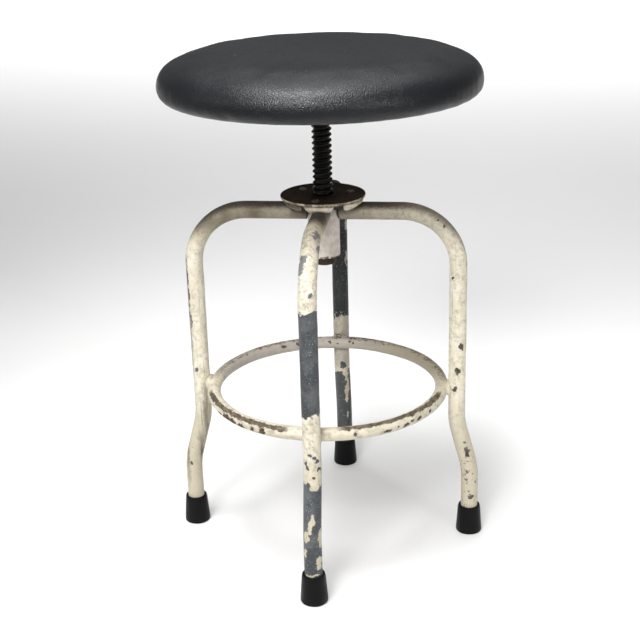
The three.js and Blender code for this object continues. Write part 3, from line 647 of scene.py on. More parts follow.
def ring_enamel():
    paint = Finish("ring_enamel")
    ragged = paint.vector("SUBTRACT", paint.grain(150, 5, 0.7, output="Color"), (0.5, 0.5, 0.5))
    place = paint.vector("ADD", paint.place, paint.vector("MULTIPLY", ragged, (0.010,) * 3))
    x, y, z = paint.axes(place)
    reach = paint.reach(x, y)
    fine = paint.grain(360, 4, 0.62)

    def worn_stripe(out, up, half_width):
        """A stripe along the bar, out and up from its middle line."""
        across = paint.math("POWER", paint.minus(reach, RING_RADIUS + out), 2)
        over = paint.math("POWER", paint.minus(z, RING_HEIGHT + up), 2)
        away = paint.math("SQRT", paint.plus(across, over))
        return paint.between(away, half_width + 0.0002, half_width - 0.0002)

    left_stretch = paint.times(paint.between(x, -0.024, -0.036), paint.between(y, -0.036, -0.046))
    right_stretch = paint.times(paint.between(x, 0.022, 0.034), paint.between(y, -0.026, -0.034))
    worn = paint.most(
        paint.times(worn_stripe(0.0046, 0.0060, 0.0029), left_stretch),
        paint.times(worn_stripe(0.0022, 0.0074, 0.0033), right_stretch),
    )
    knocks = [
        ((-113, -84, 186), (5, 5, 2.4)),
        ((-105, -95, 187), (8, 7, 4.2)),
        ((-96, -104, 186.5), (7, 6, 3.6)),
        ((-84, -113, 185), (5, 5, 3)),
        ((-70, -123, 187), (2.8, 4, 3.4)),
        ((-58, -129, 187.5), (3.8, 4, 4)),
        ((-37, -135, 191.5), (3, 3, 2.2)),
        ((46, -134, 189.5), (2, 3, 2.2)),
        ((79, -116, 186), (5, 5, 2.4)),
        ((91, -109, 188), (1.6, 3, 1.6)),
        ((98.5, -101, 186.5), (5, 5, 2.4)),
        ((105, -95, 188.5), (3, 3, 1.6)),
        ((112, -86, 188), (4.5, 5, 2.8)),
        ((124, -69, 189), (2, 4, 2)),
        ((-3, 126, 189), (2.4, 3, 1.4)),
        ((13, 127, 193), (1.5, 3, 1.2)),
        ((-12, 127, 191), (2, 3, 1.5)),
        ((-50, 117, 191), (5, 4, 2.8)),
        ((-69, 107, 191.5), (4.2, 4, 2.1)),
        ((17, 126, 190.5), (1.3, 3, 1)),
    ]
    knock = worn_spots(paint, place, fine, knocks)
    speck = paint.between(paint.grain(300, 4, 0.66), 0.735, 0.75)
    back_half = paint.between(y, -0.02, 0.05)
    crest = paint.between(z, RING_HEIGHT + 0.0060, RING_HEIGHT + 0.0074)
    line = paint.times(paint.times(back_half, crest), paint.between(fine, 0.46, 0.54))
    bare = paint.most(paint.most(worn, knock), paint.most(line, speck))

    cream = paint.mottled((60, 7, 0.66), (0.34, 0.68), CREAM_WHITE, CREAM)
    cream = paint.mix(0.40, cream, CREAM_DULL)
    # The far half is toned grey to brown: painted shade where it lies back under the seat.
    back_shade_tone = paint.mix(paint.between(x, 0.010, 0.080), RING_BACK_SHADE_GREY, RING_BACK_SHADE_BROWN)
    cream = paint.mix(paint.times(back_half, 0.80), cream, back_shade_tone)
    stain_and_shade = paint.between(paint.grain(130, 6, 0.7), 0.46, 0.66, 0, 0.75)
    cream = paint.mix(stain_and_shade, cream, CREAM_STAIN)
    steel = paint.mottled((140, 5, 0.65), (0.42, 0.62), WORN_STEEL_DARK, WORN_STEEL_PALE)
    rust_deep = paint.mix(paint.between(fine, 0.40, 0.60), RUST_DARK, RUST_WARM)
    bare_tone = paint.mix(paint.math("SUBTRACT", knock, worn, clamp=True), steel, rust_deep)
    color = paint.mix(bare, cream, bare_tone)
    level = paint.minus(1.0, bare)
    normal = paint.bump(paint.grain(420, 4, 0.6), 0.00012, 0.6, paint.bump(level, 0.00036, 0.9))
    rough = paint.between(bare, 0, 1, 0.42, 0.62)
    return paint.done(Base_Color=color, Roughness=rough, Normal=normal, IOR=1.45)


def hoop():
    points = []
    for step in range(RING_STEPS):
        around = 2 * math.pi * step / RING_STEPS
        for corner in range(RING_SIDES):
            angle = 2 * math.pi * corner / RING_SIDES
            lean = noise.noise(Vector((math.cos(around) * 3, math.sin(around) * 3, 5.0))) * 0.0004
            radius = RING_RADIUS + (RING_BAR - 0.0001) * math.cos(angle)
            point = polar(radius, around, RING_HEIGHT + lean)
            point.z += (RING_BAR - 0.0001) * math.sin(angle)
            points.append(point)
    faces = ring_faces(RING_STEPS, RING_SIDES)
    last = (RING_STEPS - 1) * RING_SIDES
    for side in range(RING_SIDES):
        after = (side + 1) % RING_SIDES
        faces.append((last + side, last + after, after, side))
    return points, faces


hoop_points, hoop_faces = hoop()
ring_paint = ring_enamel()
piece("foot_ring_bar", hoop_points, hoop_faces, ring_paint, "frame", ["foot_ring"])


# ---- Welds between the ring and the uprights ----
# Four smooth brazed fillets, painted over with the rest, that fill the corner where the bar's outer side
# meets each upright.
def lump(name, centre, turn, size, material, seed):
    """A rounded lump of weld, swollen and dented by a seeded noise."""
    dents = 0.06
    bm = bmesh.new()
    bmesh.ops.create_icosphere(bm, subdivisions=4, radius=1.0)
    for vertex in bm.verts:
        swell = 1 + dents * noise.noise(vertex.co * 2.3 + Vector((seed, seed, 0)))
        swell += dents * 0.5 * noise.noise(vertex.co * 6 + Vector((0, seed, seed)))
        vertex.co = Vector(component * width for component, width in zip(vertex.co * swell, size))
    mesh = bpy.data.meshes.new(name)
    bm.to_mesh(mesh)
    bm.free()
    mesh.shade_smooth()
    mesh.materials.append(material)
    made = bpy.data.objects.new(name, mesh)
    mesh.transform(Matrix.Translation(centre) @ Matrix.Rotation(turn, 4, "Z"))
    scene.collection.objects.link(made)
    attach(made, "frame")


RING_WELD_SIZE = (0.0052, 0.0125, 0.0088)
for seed, (side, bearing) in enumerate(LEG_BEARINGS.items()):
    turn = math.radians(bearing)
    reach = UPRIGHT_RADIUS - TUBE_RADIUS - 0.0004
    spot = polar(reach, turn, RING_HEIGHT)
    lump(f"ring_weld_{side}", spot, turn, RING_WELD_SIZE, ring_paint, seed)


# ---- Rubber feet ----
# Moulded black rubber ferrules pushed on to the tube ends: a thick sole, a rounded lower edge, slightly
# flared sides and a thin rolled lip at the top.
FOOT_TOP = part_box("foot_right")[1].z
FOOT_BASE_RADIUS = (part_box("foot_right")[1].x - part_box("foot_right")[0].x) / 2
FOOT_LIP_RADIUS = TUBE_RADIUS + 0.0023
FOOT_SOLE = LEG_END - 0.0003


ON_AXIS = 1e-7


def turned(outline, around=64):
    """Points and faces of an outline of (radius, height) pairs turned about the Z axis. The outline
    starts and ends on the axis, or else it is joined back to its start."""
    points, faces, rows = [], [], []
    for radius, height in outline:
        if radius < ON_AXIS:
            rows.append([len(points)] * around)
            points.append(Vector((0, 0, height)))
            continue
        rows.append([len(points) + step for step in range(around)])
        for step in range(around):
            angle = 2 * math.pi * step / around
            points.append(polar(radius, angle, height))
    if outline[0][0] > ON_AXIS:
        rows.append(rows[0])
    for low, high in zip(rows, rows[1:]):
        for step in range(around):
            after = (step + 1) % around
            corners = [low[step], low[after], high[after], high[step]]
            faces.append(tuple(dict.fromkeys(corners)))
    return points, [face for face in faces if len(face) > 2]


def rounded(corners, radius, steps=4):
    """An outline whose inner corners are cut by small arcs. A corner on the axis stays as it is."""
    outline = []
    count = len(corners)
    closed = corners[0][0] > ON_AXIS
    for index, corner in enumerate(corners):
        if not closed and index in (0, count - 1):
            outline.append(corner)
            continue
        here = Vector(corner)
        before = Vector(corners[index - 1]) - here
        after = Vector(corners[(index + 1) % count]) - here
        cut = min(radius, before.length * 0.45, after.length * 0.45)
        start = here + before.normalized() * cut
        end = here + after.normalized() * cut
        for step in range(steps + 1):
            share = step / steps
            point = start.lerp(here, share).lerp(here.lerp(end, share), share)
            outline.append((point.x, point.y))
    return outline


def moved(points, offset):
    return [point + Vector(offset) for point in points]


RUBBER_BLACK = (0.0035, 0.0033, 0.0034)
FLOOR_DUST = (0.045, 0.040, 0.036)


def rubber():
    black = Finish("ferrule_rubber")
    dust = black.between(black.grain(140, 5, 0.6), 0.5, 0.8, 0, 0.5)
    z = black.axes()[2]
    low = black.between(z, 0.012, 0.0)
    color = black.mix(black.times(dust, low), RUBBER_BLACK, FLOOR_DUST)
    normal = black.bump(black.grain(900, 3, 0.6), 0.00006, 0.5)
    rough = black.between(black.grain(60, 3), 0.3, 0.7, 0.34, 0.48)
    return black.done(Base_Color=color, Roughness=rough, Normal=normal, IOR=1.22)


foot_rubber = rubber()
foot_outline = rounded(
    [
        (0, 0.0012),
        (0.006, 0.0012),
        (0.0072, 0),
        (FOOT_BASE_RADIUS, 0),
        (FOOT_BASE_RADIUS - 0.0002, 0.006),
        (FOOT_LIP_RADIUS + 0.0012, FOOT_TOP - 0.004),
        (FOOT_LIP_RADIUS + 0.0003, FOOT_TOP),
        (TUBE_RADIUS + 0.0004, FOOT_TOP),
        (TUBE_RADIUS + 0.0003, FOOT_SOLE),
        (0, FOOT_SOLE),
    ],
    0.0022,
)
for side, bearing in LEG_BEARINGS.items():
    turn = math.radians(bearing)
    points, faces = turned(foot_outline)
    points = moved(points, polar(FOOT_CIRCLE, turn, 0))
    piece(f"foot_{side}_ferrule", points, faces, foot_rubber, "frame", [f"foot_{side}"])


# ---- Hub sleeve ----
# A 36 mm steel tube that hangs from the hub between the arms' ends and guides the screw. It wears dull
# pinkish grey paint, mottled and thin at its lower edge.
SLEEVE_SHADE = (0.54, 0.475, 0.415)
SLEEVE_PINK_GREY = (0.76, 0.69, 0.62)
SLEEVE_RUST = (0.11, 0.065, 0.04)
SLEEVE_TOP_SHADE = (0.07, 0.055, 0.040)


def hub_paint():
    paint = Finish("hub_paint")
    color = paint.mottled((85, 6, 0.66), (0.36, 0.66), SLEEVE_SHADE, SLEEVE_PINK_GREY)
    z = paint.axes()[2]
    edge = paint.between(z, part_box("hub_sleeve")[0].z + 0.004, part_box("hub_sleeve")[0].z)
    chips = paint.grain(260, 5, 0.68)
    bare = paint.between(paint.plus(chips, paint.times(edge, 0.22)), 0.66, 0.70)
    color = paint.mix(bare, color, SLEEVE_RUST)
    # The top, between the arms' ends and under the plate, is darkened: painted shade.
    under = paint.between(z, ARM_HEIGHT - 0.006, ARM_HEIGHT + 0.010)
    color = paint.mix(paint.times(under, 0.9), color, SLEEVE_TOP_SHADE)
    level = paint.minus(1.0, bare)
    normal = paint.bump(paint.grain(480, 3, 0.6), 0.00012, 0.6, paint.bump(level, 0.0003, 0.9))
    return paint.done(Base_Color=color, Roughness=0.52, Normal=normal, IOR=1.5)


sleeve_low, sleeve_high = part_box("hub_sleeve")
sleeve_bore = SLEEVE_RADIUS - 0.003
sleeve_outline = rounded(
    [
        (sleeve_bore, sleeve_low.z),
        (SLEEVE_RADIUS, sleeve_low.z),
        (SLEEVE_RADIUS, sleeve_high.z),
        (sleeve_bore, sleeve_high.z),
    ],
    0.0009,
)
points, faces = turned(sleeve_outline, 72)
piece("hub_sleeve_tube", points, faces, hub_paint(), "frame", ["hub_sleeve"])


# ---- Hub nut ----
# A flanged steel bush with a square-cut right-hand thread. Its flange lies on the four arms and its body
# sits inside the sleeve, so only a dark rim shows under the plate.
def dark_steel(name, light, dark, rough):
    steel = Finish(name)
    color = steel.mottled((70, 6, 0.65), (0.36, 0.66), dark, light)
    scratch = steel.grain(1.0, 4, 0.6, steel.stretched((700, 90, 200)))
    color = steel.mix(steel.between(scratch, 0.62, 0.72, 0, 0.5), color, shaded(light, 2.2))
    normal = steel.bump(steel.grain(380, 5, 0.62), 0.00014, 0.6)
    return steel.done(Base_Color=color, Roughness=rough, Metallic=0.35, Normal=normal)


NUT_WORN = (0.050, 0.040, 0.032)
NUT_DARK = (0.018, 0.014, 0.011)
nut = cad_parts["hub_nut"].data
nut.materials.clear()
nut.materials.append(dark_steel("nut_steel", NUT_WORN, NUT_DARK, 0.5))


# ---- Hub plate ----
# A 96 mm pressed steel disc screwed down on the nut's flange. Its top is worn to a very dark brown, and
# cream paint is left only round its rolled edge.
PLATE_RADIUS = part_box("hub_plate")[1].x
plate_low, plate_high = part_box("hub_plate")
SPINDLE_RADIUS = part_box("spindle")[1].x


PLATE_BLACK = (0.0040, 0.0024, 0.0012)
PLATE_BROWN = (0.020, 0.0125, 0.0066)
PLATE_RUBBED = (0.11, 0.08, 0.055)
PLATE_WORN_SIDE = (0.022, 0.015, 0.009)
PLATE_GREASE = (0.004, 0.003, 0.002)
RIM_CREAM = (0.40, 0.35, 0.26)
RIM_BROWN = (0.12, 0.096, 0.065)
RIM_CHIP = (0.10, 0.07, 0.05)


def plate_finish():
    paint = Finish("plate_finish")
    x, y, z = paint.axes()
    reach = paint.reach(x, y)
    fine = paint.grain(320, 5, 0.65)
    top = paint.mottled((60, 6, 0.66), (0.36, 0.68), PLATE_BLACK, PLATE_BROWN)
    top = paint.mix(paint.between(fine, 0.62, 0.74, 0, 0.5), top, PLATE_RUBBED)
    worn_side = paint.between(x, -0.020, 0.030, 0, 0.5)
    top = paint.mix(worn_side, top, PLATE_WORN_SIDE)
    greased = paint.between(reach, 0.030, 0.016)
    top = paint.mix(greased, top, PLATE_GREASE)
    cream = paint.mottled((110, 5, 0.6), (0.4, 0.64), RIM_CREAM, RIM_BROWN)
    down = paint.plus(z, paint.times(paint.minus(fine, 0.5), 0.0012))
    painted = paint.between(down, plate_high.z - 0.0003, plate_high.z - 0.0006)
    painted = paint.times(painted, paint.between(reach, PLATE_RADIUS - 0.0016, PLATE_RADIUS - 0.0010))
    color = paint.mix(painted, top, cream)
    chipped = paint.between(paint.grain(210, 4, 0.62), 0.64, 0.67)
    color = paint.mix(paint.times(painted, chipped), color, RIM_CHIP)
    rough = paint.between(fine, 0.3, 0.7, 0.50, 0.70)
    normal = paint.bump(fine, 0.00016, 0.6, paint.bump(paint.grain(45, 3), 0.0006, 0.5))
    return paint.done(Base_Color=color, Roughness=rough, Normal=normal, IOR=1.18)


plate_paint = plate_finish()
plate_corners = [
    (SPINDLE_RADIUS + 0.0008, plate_low.z),
    (PLATE_RADIUS - 0.0004, plate_low.z),
    (PLATE_RADIUS, plate_high.z - 0.0006),
    (PLATE_RADIUS - 0.0012, plate_high.z),
    (PLATE_RADIUS - 0.006, plate_high.z - 0.0007),
    (0.028, plate_high.z - 0.0011),
    (0.018, plate_high.z - 0.0002),
    (SPINDLE_RADIUS + 0.0008, plate_high.z),
]
points, faces = turned(rounded(plate_corners, 0.0010), 120)
piece("hub_plate_disc", points, faces, plate_paint, "frame", ["hub_plate"])

# Three low screw heads, filled with paint and worn bright on top.
screw_head = rounded(
    [
        (0, plate_high.z - 0.0016),
        (0.0045, plate_high.z - 0.0016),
        (0.0045, plate_high.z - 0.0003),
        (0.0030, plate_high.z + 0.0007),
        (0.0016, plate_high.z + 0.0001),
        (0, plate_high.z - 0.0002),
    ],
    0.0005,
)
SCREW_WORN = (0.13, 0.10, 0.085)
SCREW_DARK = (0.035, 0.027, 0.022)
head_steel = dark_steel("plate_screw_steel", SCREW_WORN, SCREW_DARK, 0.38)
for number in (1, 2, 3):
    low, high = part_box(f"plate_screw_{number}")
    points, faces = turned(screw_head, 32)
    points = moved(points, ((low.x + high.x) / 2, (low.y + high.y) / 2, 0))
    name = f"plate_screw_{number}"
    piece(f"{name}_head", points, faces, head_steel, "frame", [name])


# ---- Arm saddles ----
# Thick lumps of brazing that pack the gap between the plate's rim and each arm. They were run further
# round on the left and right than at the front and back, and are flooded with paint.
BRAZE_CREAM = (0.76, 0.68, 0.53)
BRAZE_TAN = (0.46, 0.39, 0.28)
BRAZE_COLD_GREY = (0.52, 0.53, 0.54)
BRAZE_PIT = (0.09, 0.06, 0.04)
BRAZE_OIL = (0.050, 0.034, 0.013)


def weld_paint():
    paint = Finish("weld_paint")
    color = paint.mottled((95, 6, 0.62), (0.38, 0.64), BRAZE_CREAM, BRAZE_TAN)
    cold = paint.between(paint.grain(120, 4, 0.6), 0.56, 0.66)
    color = paint.mix(paint.times(cold, 0.7), color, BRAZE_COLD_GREY)
    color = paint.mottled((240, 4, 0.66), (0.62, 0.66), color, BRAZE_PIT)
    x, _, z = paint.axes()
    oiled = paint.plus(x, paint.times(paint.grain(60, 4), 0.02))
    color = paint.mix(paint.between(oiled, 0.008, -0.014, 0, 0.96), color, BRAZE_OIL)
    # The top of each saddle, under the plate's rim, is darkened: painted shade.
    tucked = paint.plus(z, paint.times(paint.grain(200, 3), 0.003))
    shadowed = paint.between(tucked, plate_low.z - 0.0012, plate_low.z + 0.0012, 0, 0.8)
    color = paint.mix(shadowed, color, HUB_GRIME_AND_SHADE)
    normal = paint.bump(paint.grain(300, 4, 0.6), 0.0004, 0.8)
    return paint.done(Base_Color=color, Roughness=0.55, Normal=normal, IOR=1.5)


SADDLE_REACH = {"front": (-113, -67), "right": (-49, 25), "back": (65, 115), "left": (155, 242)}
SADDLE_OUTLINE = [
    (0.0463, 0.4186),
    (0.0458, 0.4158),
    (0.0434, 0.4130),
    (0.0402, 0.4106),
    (0.0366, 0.4088),
    (0.0335, 0.4082),
    (0.0335, 0.4115),
    (0.0385, 0.4126),
    (0.0385, 0.4186),
]
saddle_paint = weld_paint()


def saddle(side, start, end):
    """A sector of a lumpy cone: its top lies on the plate and it runs down and inwards on the arm. Both
    ends thin out."""
    steps = round(end - start)
    outline = rounded(SADDLE_OUTLINE, 0.0012, 2)
    crest = Vector((0.0425, 0.4184))
    points = []
    for step in range(steps + 1):
        share = step / steps
        angle = math.radians(start + (end - start) * share)
        near_end = min(1.0, share / 0.16, (1 - share) / 0.16)
        full = 0.30 + 0.70 * math.sin(near_end * math.pi / 2)
        for index, corner in enumerate(outline):
            reach, height = crest.lerp(Vector(corner), full)
            if index < len(outline) * 0.62:
                place = polar(4.5, angle, index * 0.16)
                reach += 0.0012 * noise.noise(place) + 0.0006 * noise.noise(place * 3.1)
                height += 0.0010 * noise.noise(place + Vector((7, 0, 0)))
            height = min(height, plate_low.z - 0.0002)
            points.append(polar(reach, angle, height))
    sides = len(outline)
    faces = ring_faces(steps + 1, sides)
    faces.append(tuple(reversed(range(sides))))
    faces.append(tuple(range(steps * sides, (steps + 1) * sides)))
    name = f"arm_saddle_{side}"
    piece(f"{name}_braze", points, faces, saddle_paint, "frame", [name], crease=60)


for side, (start, end) in SADDLE_REACH.items():
    saddle(side, start, end)


# ---- Spindle ----
# A 22.5 mm steel screw, four threads to the inch and right-handed, blacked and greased. Its lower end is
# plain for the washer and the stop collar, and its upper end is pinned into the seat's flange.
THREAD_PITCH = 0.00635
THREAD_DEPTH = 0.00205
spindle_low, spindle_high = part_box("spindle")
THREAD_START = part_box("thrust_washer")[1].z + 0.0003
THREAD_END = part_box("seat_flange")[0].z - 0.0003
TAIL_RADIUS = 0.008
HEAD_RADIUS = 0.009
SPINDLE_SIDES = 48
THREAD_ROWS = 14


SPINDLE_BLACK = (0.0020, 0.0020, 0.0022)
SPINDLE_BROWN_BLACK = (0.006, 0.0055, 0.0055)
SPINDLE_RUBBED = (0.07, 0.045, 0.03)


def gloss_black():
    black = Finish("spindle_black")
    color = black.mottled((150, 4, 0.6), (0.4, 0.7), SPINDLE_BLACK, SPINDLE_BROWN_BLACK)
    color = black.mottled((420, 4, 0.62), (0.70, 0.75), color, SPINDLE_RUBBED)
    rough = black.between(black.grain(220, 3), 0.3, 0.7, 0.09, 0.17)
    normal = black.bump(black.grain(600, 3), 0.00005, 0.5)
    return black.done(Base_Color=color, Roughness=rough, Normal=normal, IOR=1.32)


def spindle_radius(height, angle):
    if height < THREAD_START or height > THREAD_END:
        return TAIL_RADIUS if height < THREAD_START else HEAD_RADIUS
    phase = (height / THREAD_PITCH - angle / (2 * math.pi)) % 1.0
    from_ridge = min(phase, 1 - phase)
    share = max(0.0, min(1.0, 1 - (from_ridge - 0.06) / (0.40 - 0.06)))
    return SPINDLE_RADIUS - THREAD_DEPTH * (1 - share ** 1.25)


heights = [spindle_low.z, spindle_low.z + 0.0006, THREAD_START - 0.00001]
rows = round((THREAD_END - THREAD_START) / THREAD_PITCH * THREAD_ROWS)
heights += [THREAD_START + (THREAD_END - THREAD_START) * row / rows for row in range(rows + 1)]
heights += [THREAD_END + 0.00001, spindle_high.z - 0.0006, spindle_high.z]
points = []
for index, height in enumerate(heights):
    chamfer = 0.0006 if index in (0, len(heights) - 1) else 0
    for corner in range(SPINDLE_SIDES):
        angle = 2 * math.pi * corner / SPINDLE_SIDES
        radius = spindle_radius(height, angle) - chamfer
        points.append(polar(radius, angle, height))
faces = ring_faces(len(heights), SPINDLE_SIDES)
faces.append(tuple(reversed(range(SPINDLE_SIDES))))
top_row = (len(heights) - 1) * SPINDLE_SIDES
faces.append(tuple(range(top_row, top_row + SPINDLE_SIDES)))
piece("spindle_screw", points, faces, gloss_black(), "seat", ["spindle"], crease=50)


# ---- Stop collar, its pin and the thrust washer ----
# A turned collar pinned to the spindle's tail stops the screw from coming out of the nut. The loose
# washer above it takes the rub. All of it is dull brown with rust but the zinced pin.
COLLAR_DARK = (0.014, 0.009, 0.007)
COLLAR_RUST = (0.055, 0.030, 0.019)
COLLAR_SCALE = (0.015, 0.011, 0.009)


def rusty(name):
    rust = Finish(name)
    color = rust.mottled((180, 6, 0.66), (0.36, 0.66), COLLAR_DARK, COLLAR_RUST)
    color = rust.mottled((420, 4), (0.58, 0.68), color, COLLAR_SCALE)
    normal = rust.bump(rust.grain(500, 5, 0.65), 0.00022, 0.8)
    return rust.done(Base_Color=color, Roughness=0.72, Metallic=0.25, Normal=normal)


def quarter_round(outer, low, wide, tall, steps):
    """The points of a rounded lower edge, from underneath it out and up to its side."""
    outline = []
    for step in range(steps + 1):
        angle = math.pi / 2 * (1 - step / steps)
        outline.append((outer - wide * (1 - math.cos(angle)), low + tall * (1 - math.sin(angle))))
    return outline


rust_finish = rusty("rusty_steel")
collar_low, collar_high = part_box("stop_collar")
collar_radius = collar_high.x
collar_bore = TAIL_RADIUS + 0.0003
# Of the four corners of the upper half only the two outer ones are kept; each is five points.
collar_rim = rounded(
    [
        (collar_bore, collar_high.z),
        (collar_radius, collar_low.z + 0.0045),
        (collar_radius, collar_high.z),
        (collar_bore, collar_high.z),
    ],
    0.0006,
)[5:-5]
collar_outline = [
    (collar_bore, collar_low.z),
    (collar_bore + 0.0005, collar_low.z),
    *quarter_round(collar_radius, collar_low.z, 0.003, 0.003, 8),
    *collar_rim,
    (collar_bore, collar_high.z),
]
points, faces = turned(collar_outline, 64)
piece("stop_collar_turned", points, faces, rust_finish, "seat", ["stop_collar"])

washer_low, washer_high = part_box("thrust_washer")
washer_outline = rounded(
    [
        (TAIL_RADIUS + 0.0005, washer_low.z),
        (washer_high.x, washer_low.z),
        (washer_high.x, washer_high.z),
        (TAIL_RADIUS + 0.0005, washer_high.z),
    ],
    0.0004,
)
points, faces = turned(washer_outline, 64)
piece("thrust_washer_ring", points, faces, rust_finish, "washer", ["thrust_washer"])


def pin(name, node, material, sides=28):
    """A straight pin along X with chamfered ends."""
    low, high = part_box(node)
    radius = (high.z - low.z) / 2
    half = (high.x - low.x) / 2
    outline = rounded([(0, -half), (radius, -half), (radius, half), (0, half)], radius * 0.4)
    points, faces = turned(outline, sides)
    points = [Vector((point.z, point.y, -point.x + (low.z + high.z) / 2)) for point in points]
    piece(name, points, faces, material, "seat", [node])


ZINC_DULL = (0.36, 0.36, 0.35)
ZINC_BRIGHT = (0.55, 0.55, 0.53)
ZINC_RUST = (0.16, 0.10, 0.06)


def bright_zinc():
    zinc = Finish("zinc_steel")
    color = zinc.mottled((220, 4, 0.6), (0.35, 0.65), ZINC_DULL, ZINC_BRIGHT)
    color = zinc.mottled((330, 5, 0.66), (0.62, 0.70), color, ZINC_RUST)
    normal = zinc.bump(zinc.grain(700, 3), 0.00005, 0.5)
    return zinc.done(Base_Color=color, Roughness=0.38, Metallic=0.9, Normal=normal)


zinc_finish = bright_zinc()
pin("collar_cross_pin", "collar_pin", zinc_finish)


# ---- Seat flange, its pin and screws ----
# A black japanned iron casting: a disc screwed up under the board with a boss that takes the spindle's
# plain end. A steel pin goes through both.
JAPAN_BLACK = (0.014, 0.014, 0.015)
JAPAN_GREY = (0.034, 0.032, 0.031)
JAPAN_RUST = (0.10, 0.055, 0.03)


def japanned():
    iron = Finish("flange_iron")
    color = iron.mottled((70, 5, 0.6), (0.38, 0.66), JAPAN_BLACK, JAPAN_GREY)
    color = iron.mottled((260, 5, 0.66), (0.66, 0.70), color, JAPAN_RUST)
    normal = iron.bump(iron.grain(300, 4, 0.62), 0.00030, 0.8)
    return iron.done(Base_Color=color, Roughness=0.45, Metallic=0.2, Normal=normal)


flange_low, flange_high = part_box("seat_flange")
BOSS_RADIUS = 0.018
FLANGE_THICKNESS = 0.005
flange_corners = [
    (HEAD_RADIUS + 0.0003, flange_low.z),
    (BOSS_RADIUS - 0.001, flange_low.z),
    (BOSS_RADIUS, flange_high.z - FLANGE_THICKNESS - 0.004),
    (BOSS_RADIUS + 0.004, flange_high.z - FLANGE_THICKNESS),
    (flange_high.x, flange_high.z - FLANGE_THICKNESS * 0.8),
    (flange_high.x, flange_high.z),
    (HEAD_RADIUS + 0.0003, flange_high.z),
]
points, faces = turned(rounded(flange_corners, 0.002), 96)
piece("seat_flange_casting", points, faces, japanned(), "seat", ["seat_flange"])
pin("flange_cross_pin", "flange_pin", zinc_finish)


def slotted_screw(name, node, material):
    """A round wood screw head with a sawn slot, and its shank going up into the board."""
    low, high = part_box(node)
    middle = Vector(((low.x + high.x) / 2, (low.y + high.y) / 2, 0))
    radius = (high.x - low.x) / 2
    under = low.z + 0.0026
    profile = []
    for step in range(9):
        angle = math.pi / 2 * step / 8
        profile.append((radius * math.sin(angle), low.z + 0.0004 + 0.0022 * (1 - math.cos(angle))))
    profile += [(radius, under), (0.0025, under), (0.0025, high.z - 0.004), (0.0004, high.z), (0, high.z)]
    points, faces = turned(profile, 40)
    for point in points:
        # The slot: points of the dome that lie close to one line across it are pushed in.
        if abs(point.y) < 0.0007 and point.z < low.z + 0.0016:
            point.z = low.z + 0.0016
    piece(name, moved(points, middle), faces, material, "seat", [node], crease=30)


for number in (1, 2, 3, 4):
    slotted_screw(f"seat_screw_{number}_round", f"seat_screw_{number}", zinc_finish)


# ---- Seat board ----
# A 12 mm birch plywood disc with a rounded lower edge, which carries the pad and takes the staples. It
# shows from below between the flange and the hem.
BIRCH_DARK = (0.50, 0.34, 0.19)
BIRCH_PALE = (0.62, 0.46, 0.28)
BIRCH_FIBRE = (0.28, 0.17, 0.09)


def plywood():
    wood = Finish("birch_plywood")
    rings = wood.grain(1.0, 4, 0.6, wood.stretched((14, 95, 95)))
    tone = wood.between(rings, 0.34, 0.66)
    color = wood.mix(tone, BIRCH_DARK, BIRCH_PALE)
    fibre = wood.grain(1.0, 3, 0.6, wood.stretched((60, 1400, 1400)))
    color = wood.mix(wood.between(fibre, 0.55, 0.75, 0, 0.55), color, BIRCH_FIBRE)
    normal = wood.bump(fibre, 0.0002, 0.6)
    return wood.done(Base_Color=color, Roughness=0.7, Normal=normal)


board_low, board_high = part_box("seat_board")
board_outline = [
    (0, board_low.z),
    (0.1, board_low.z),
    *quarter_round(board_high.x, board_low.z, 0.0083, 0.011, 6),
    (board_high.x, board_high.z - 0.0004),
    (board_high.x - 0.0004, board_high.z),
    (0, board_high.z),
]
points, faces = turned(board_outline, 120)
piece("seat_board_disc", points, faces, plywood(), "seat", ["seat_board"])


# ---- Seat pad and cover ----
# A round foam pad glued on the board, with black grained vinyl pulled tight over it, turned under the
# board's edge in small pleats and stapled. The crown is nearly flat and its shoulder is full.
cover_low, cover_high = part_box("seat_cover")
SEAT_RADIUS = cover_high.x
SHOULDER_HEIGHT = cover_high.z - 0.036
LOWER_CURL = 0.012
HEM_RADIUS = SEAT_RADIUS - LOWER_CURL - 0.025
SIDE_POWER = 6.9
CROWN_POWER = 2.2
COVER_SKIN = 0.0012
SIM_FRAMES = 20
SIM_CAP = 0.0012


def seat_profile(skin, crown_steps=34, curl_steps=10, slack=0.0):
    """The seat's outline from the middle of its underside, round the shoulder and up to the crown. Slack
    flattens the crown and widens the side, which blowing the cover up undoes."""
    reach = SEAT_RADIUS - skin + slack * 1.1
    rise = cover_high.z - SHOULDER_HEIGHT - skin - slack
    fall = SHOULDER_HEIGHT - cover_low.z - skin
    curl = LOWER_CURL - skin * 0.5
    outline = [(0, cover_low.z + skin)]
    outline += [((reach - curl) * step / 12, cover_low.z + skin) for step in range(1, 12)]
    for step in range(curl_steps + 1):
        angle = math.pi / 2 * (1 - step / curl_steps)
        outline.append((reach - curl * (1 - math.cos(angle)), SHOULDER_HEIGHT - fall * math.sin(angle)))
    for step in range(1, crown_steps):
        angle = math.pi / 2 * step / crown_steps
        out = reach * math.cos(angle) ** (2 / SIDE_POWER)
        outline.append((out, SHOULDER_HEIGHT + rise * math.sin(angle) ** (2 / CROWN_POWER)))
    inner = outline[-1]
    for step in range(1, 14):
        share = step / 14
        radius = inner[0] * (1 - share)
        lift = SHOULDER_HEIGHT + rise - inner[1]
        outline.append((radius, inner[1] + lift * (1 - (1 - share) ** 2)))
    outline.append((0, SHOULDER_HEIGHT + rise))
    return outline


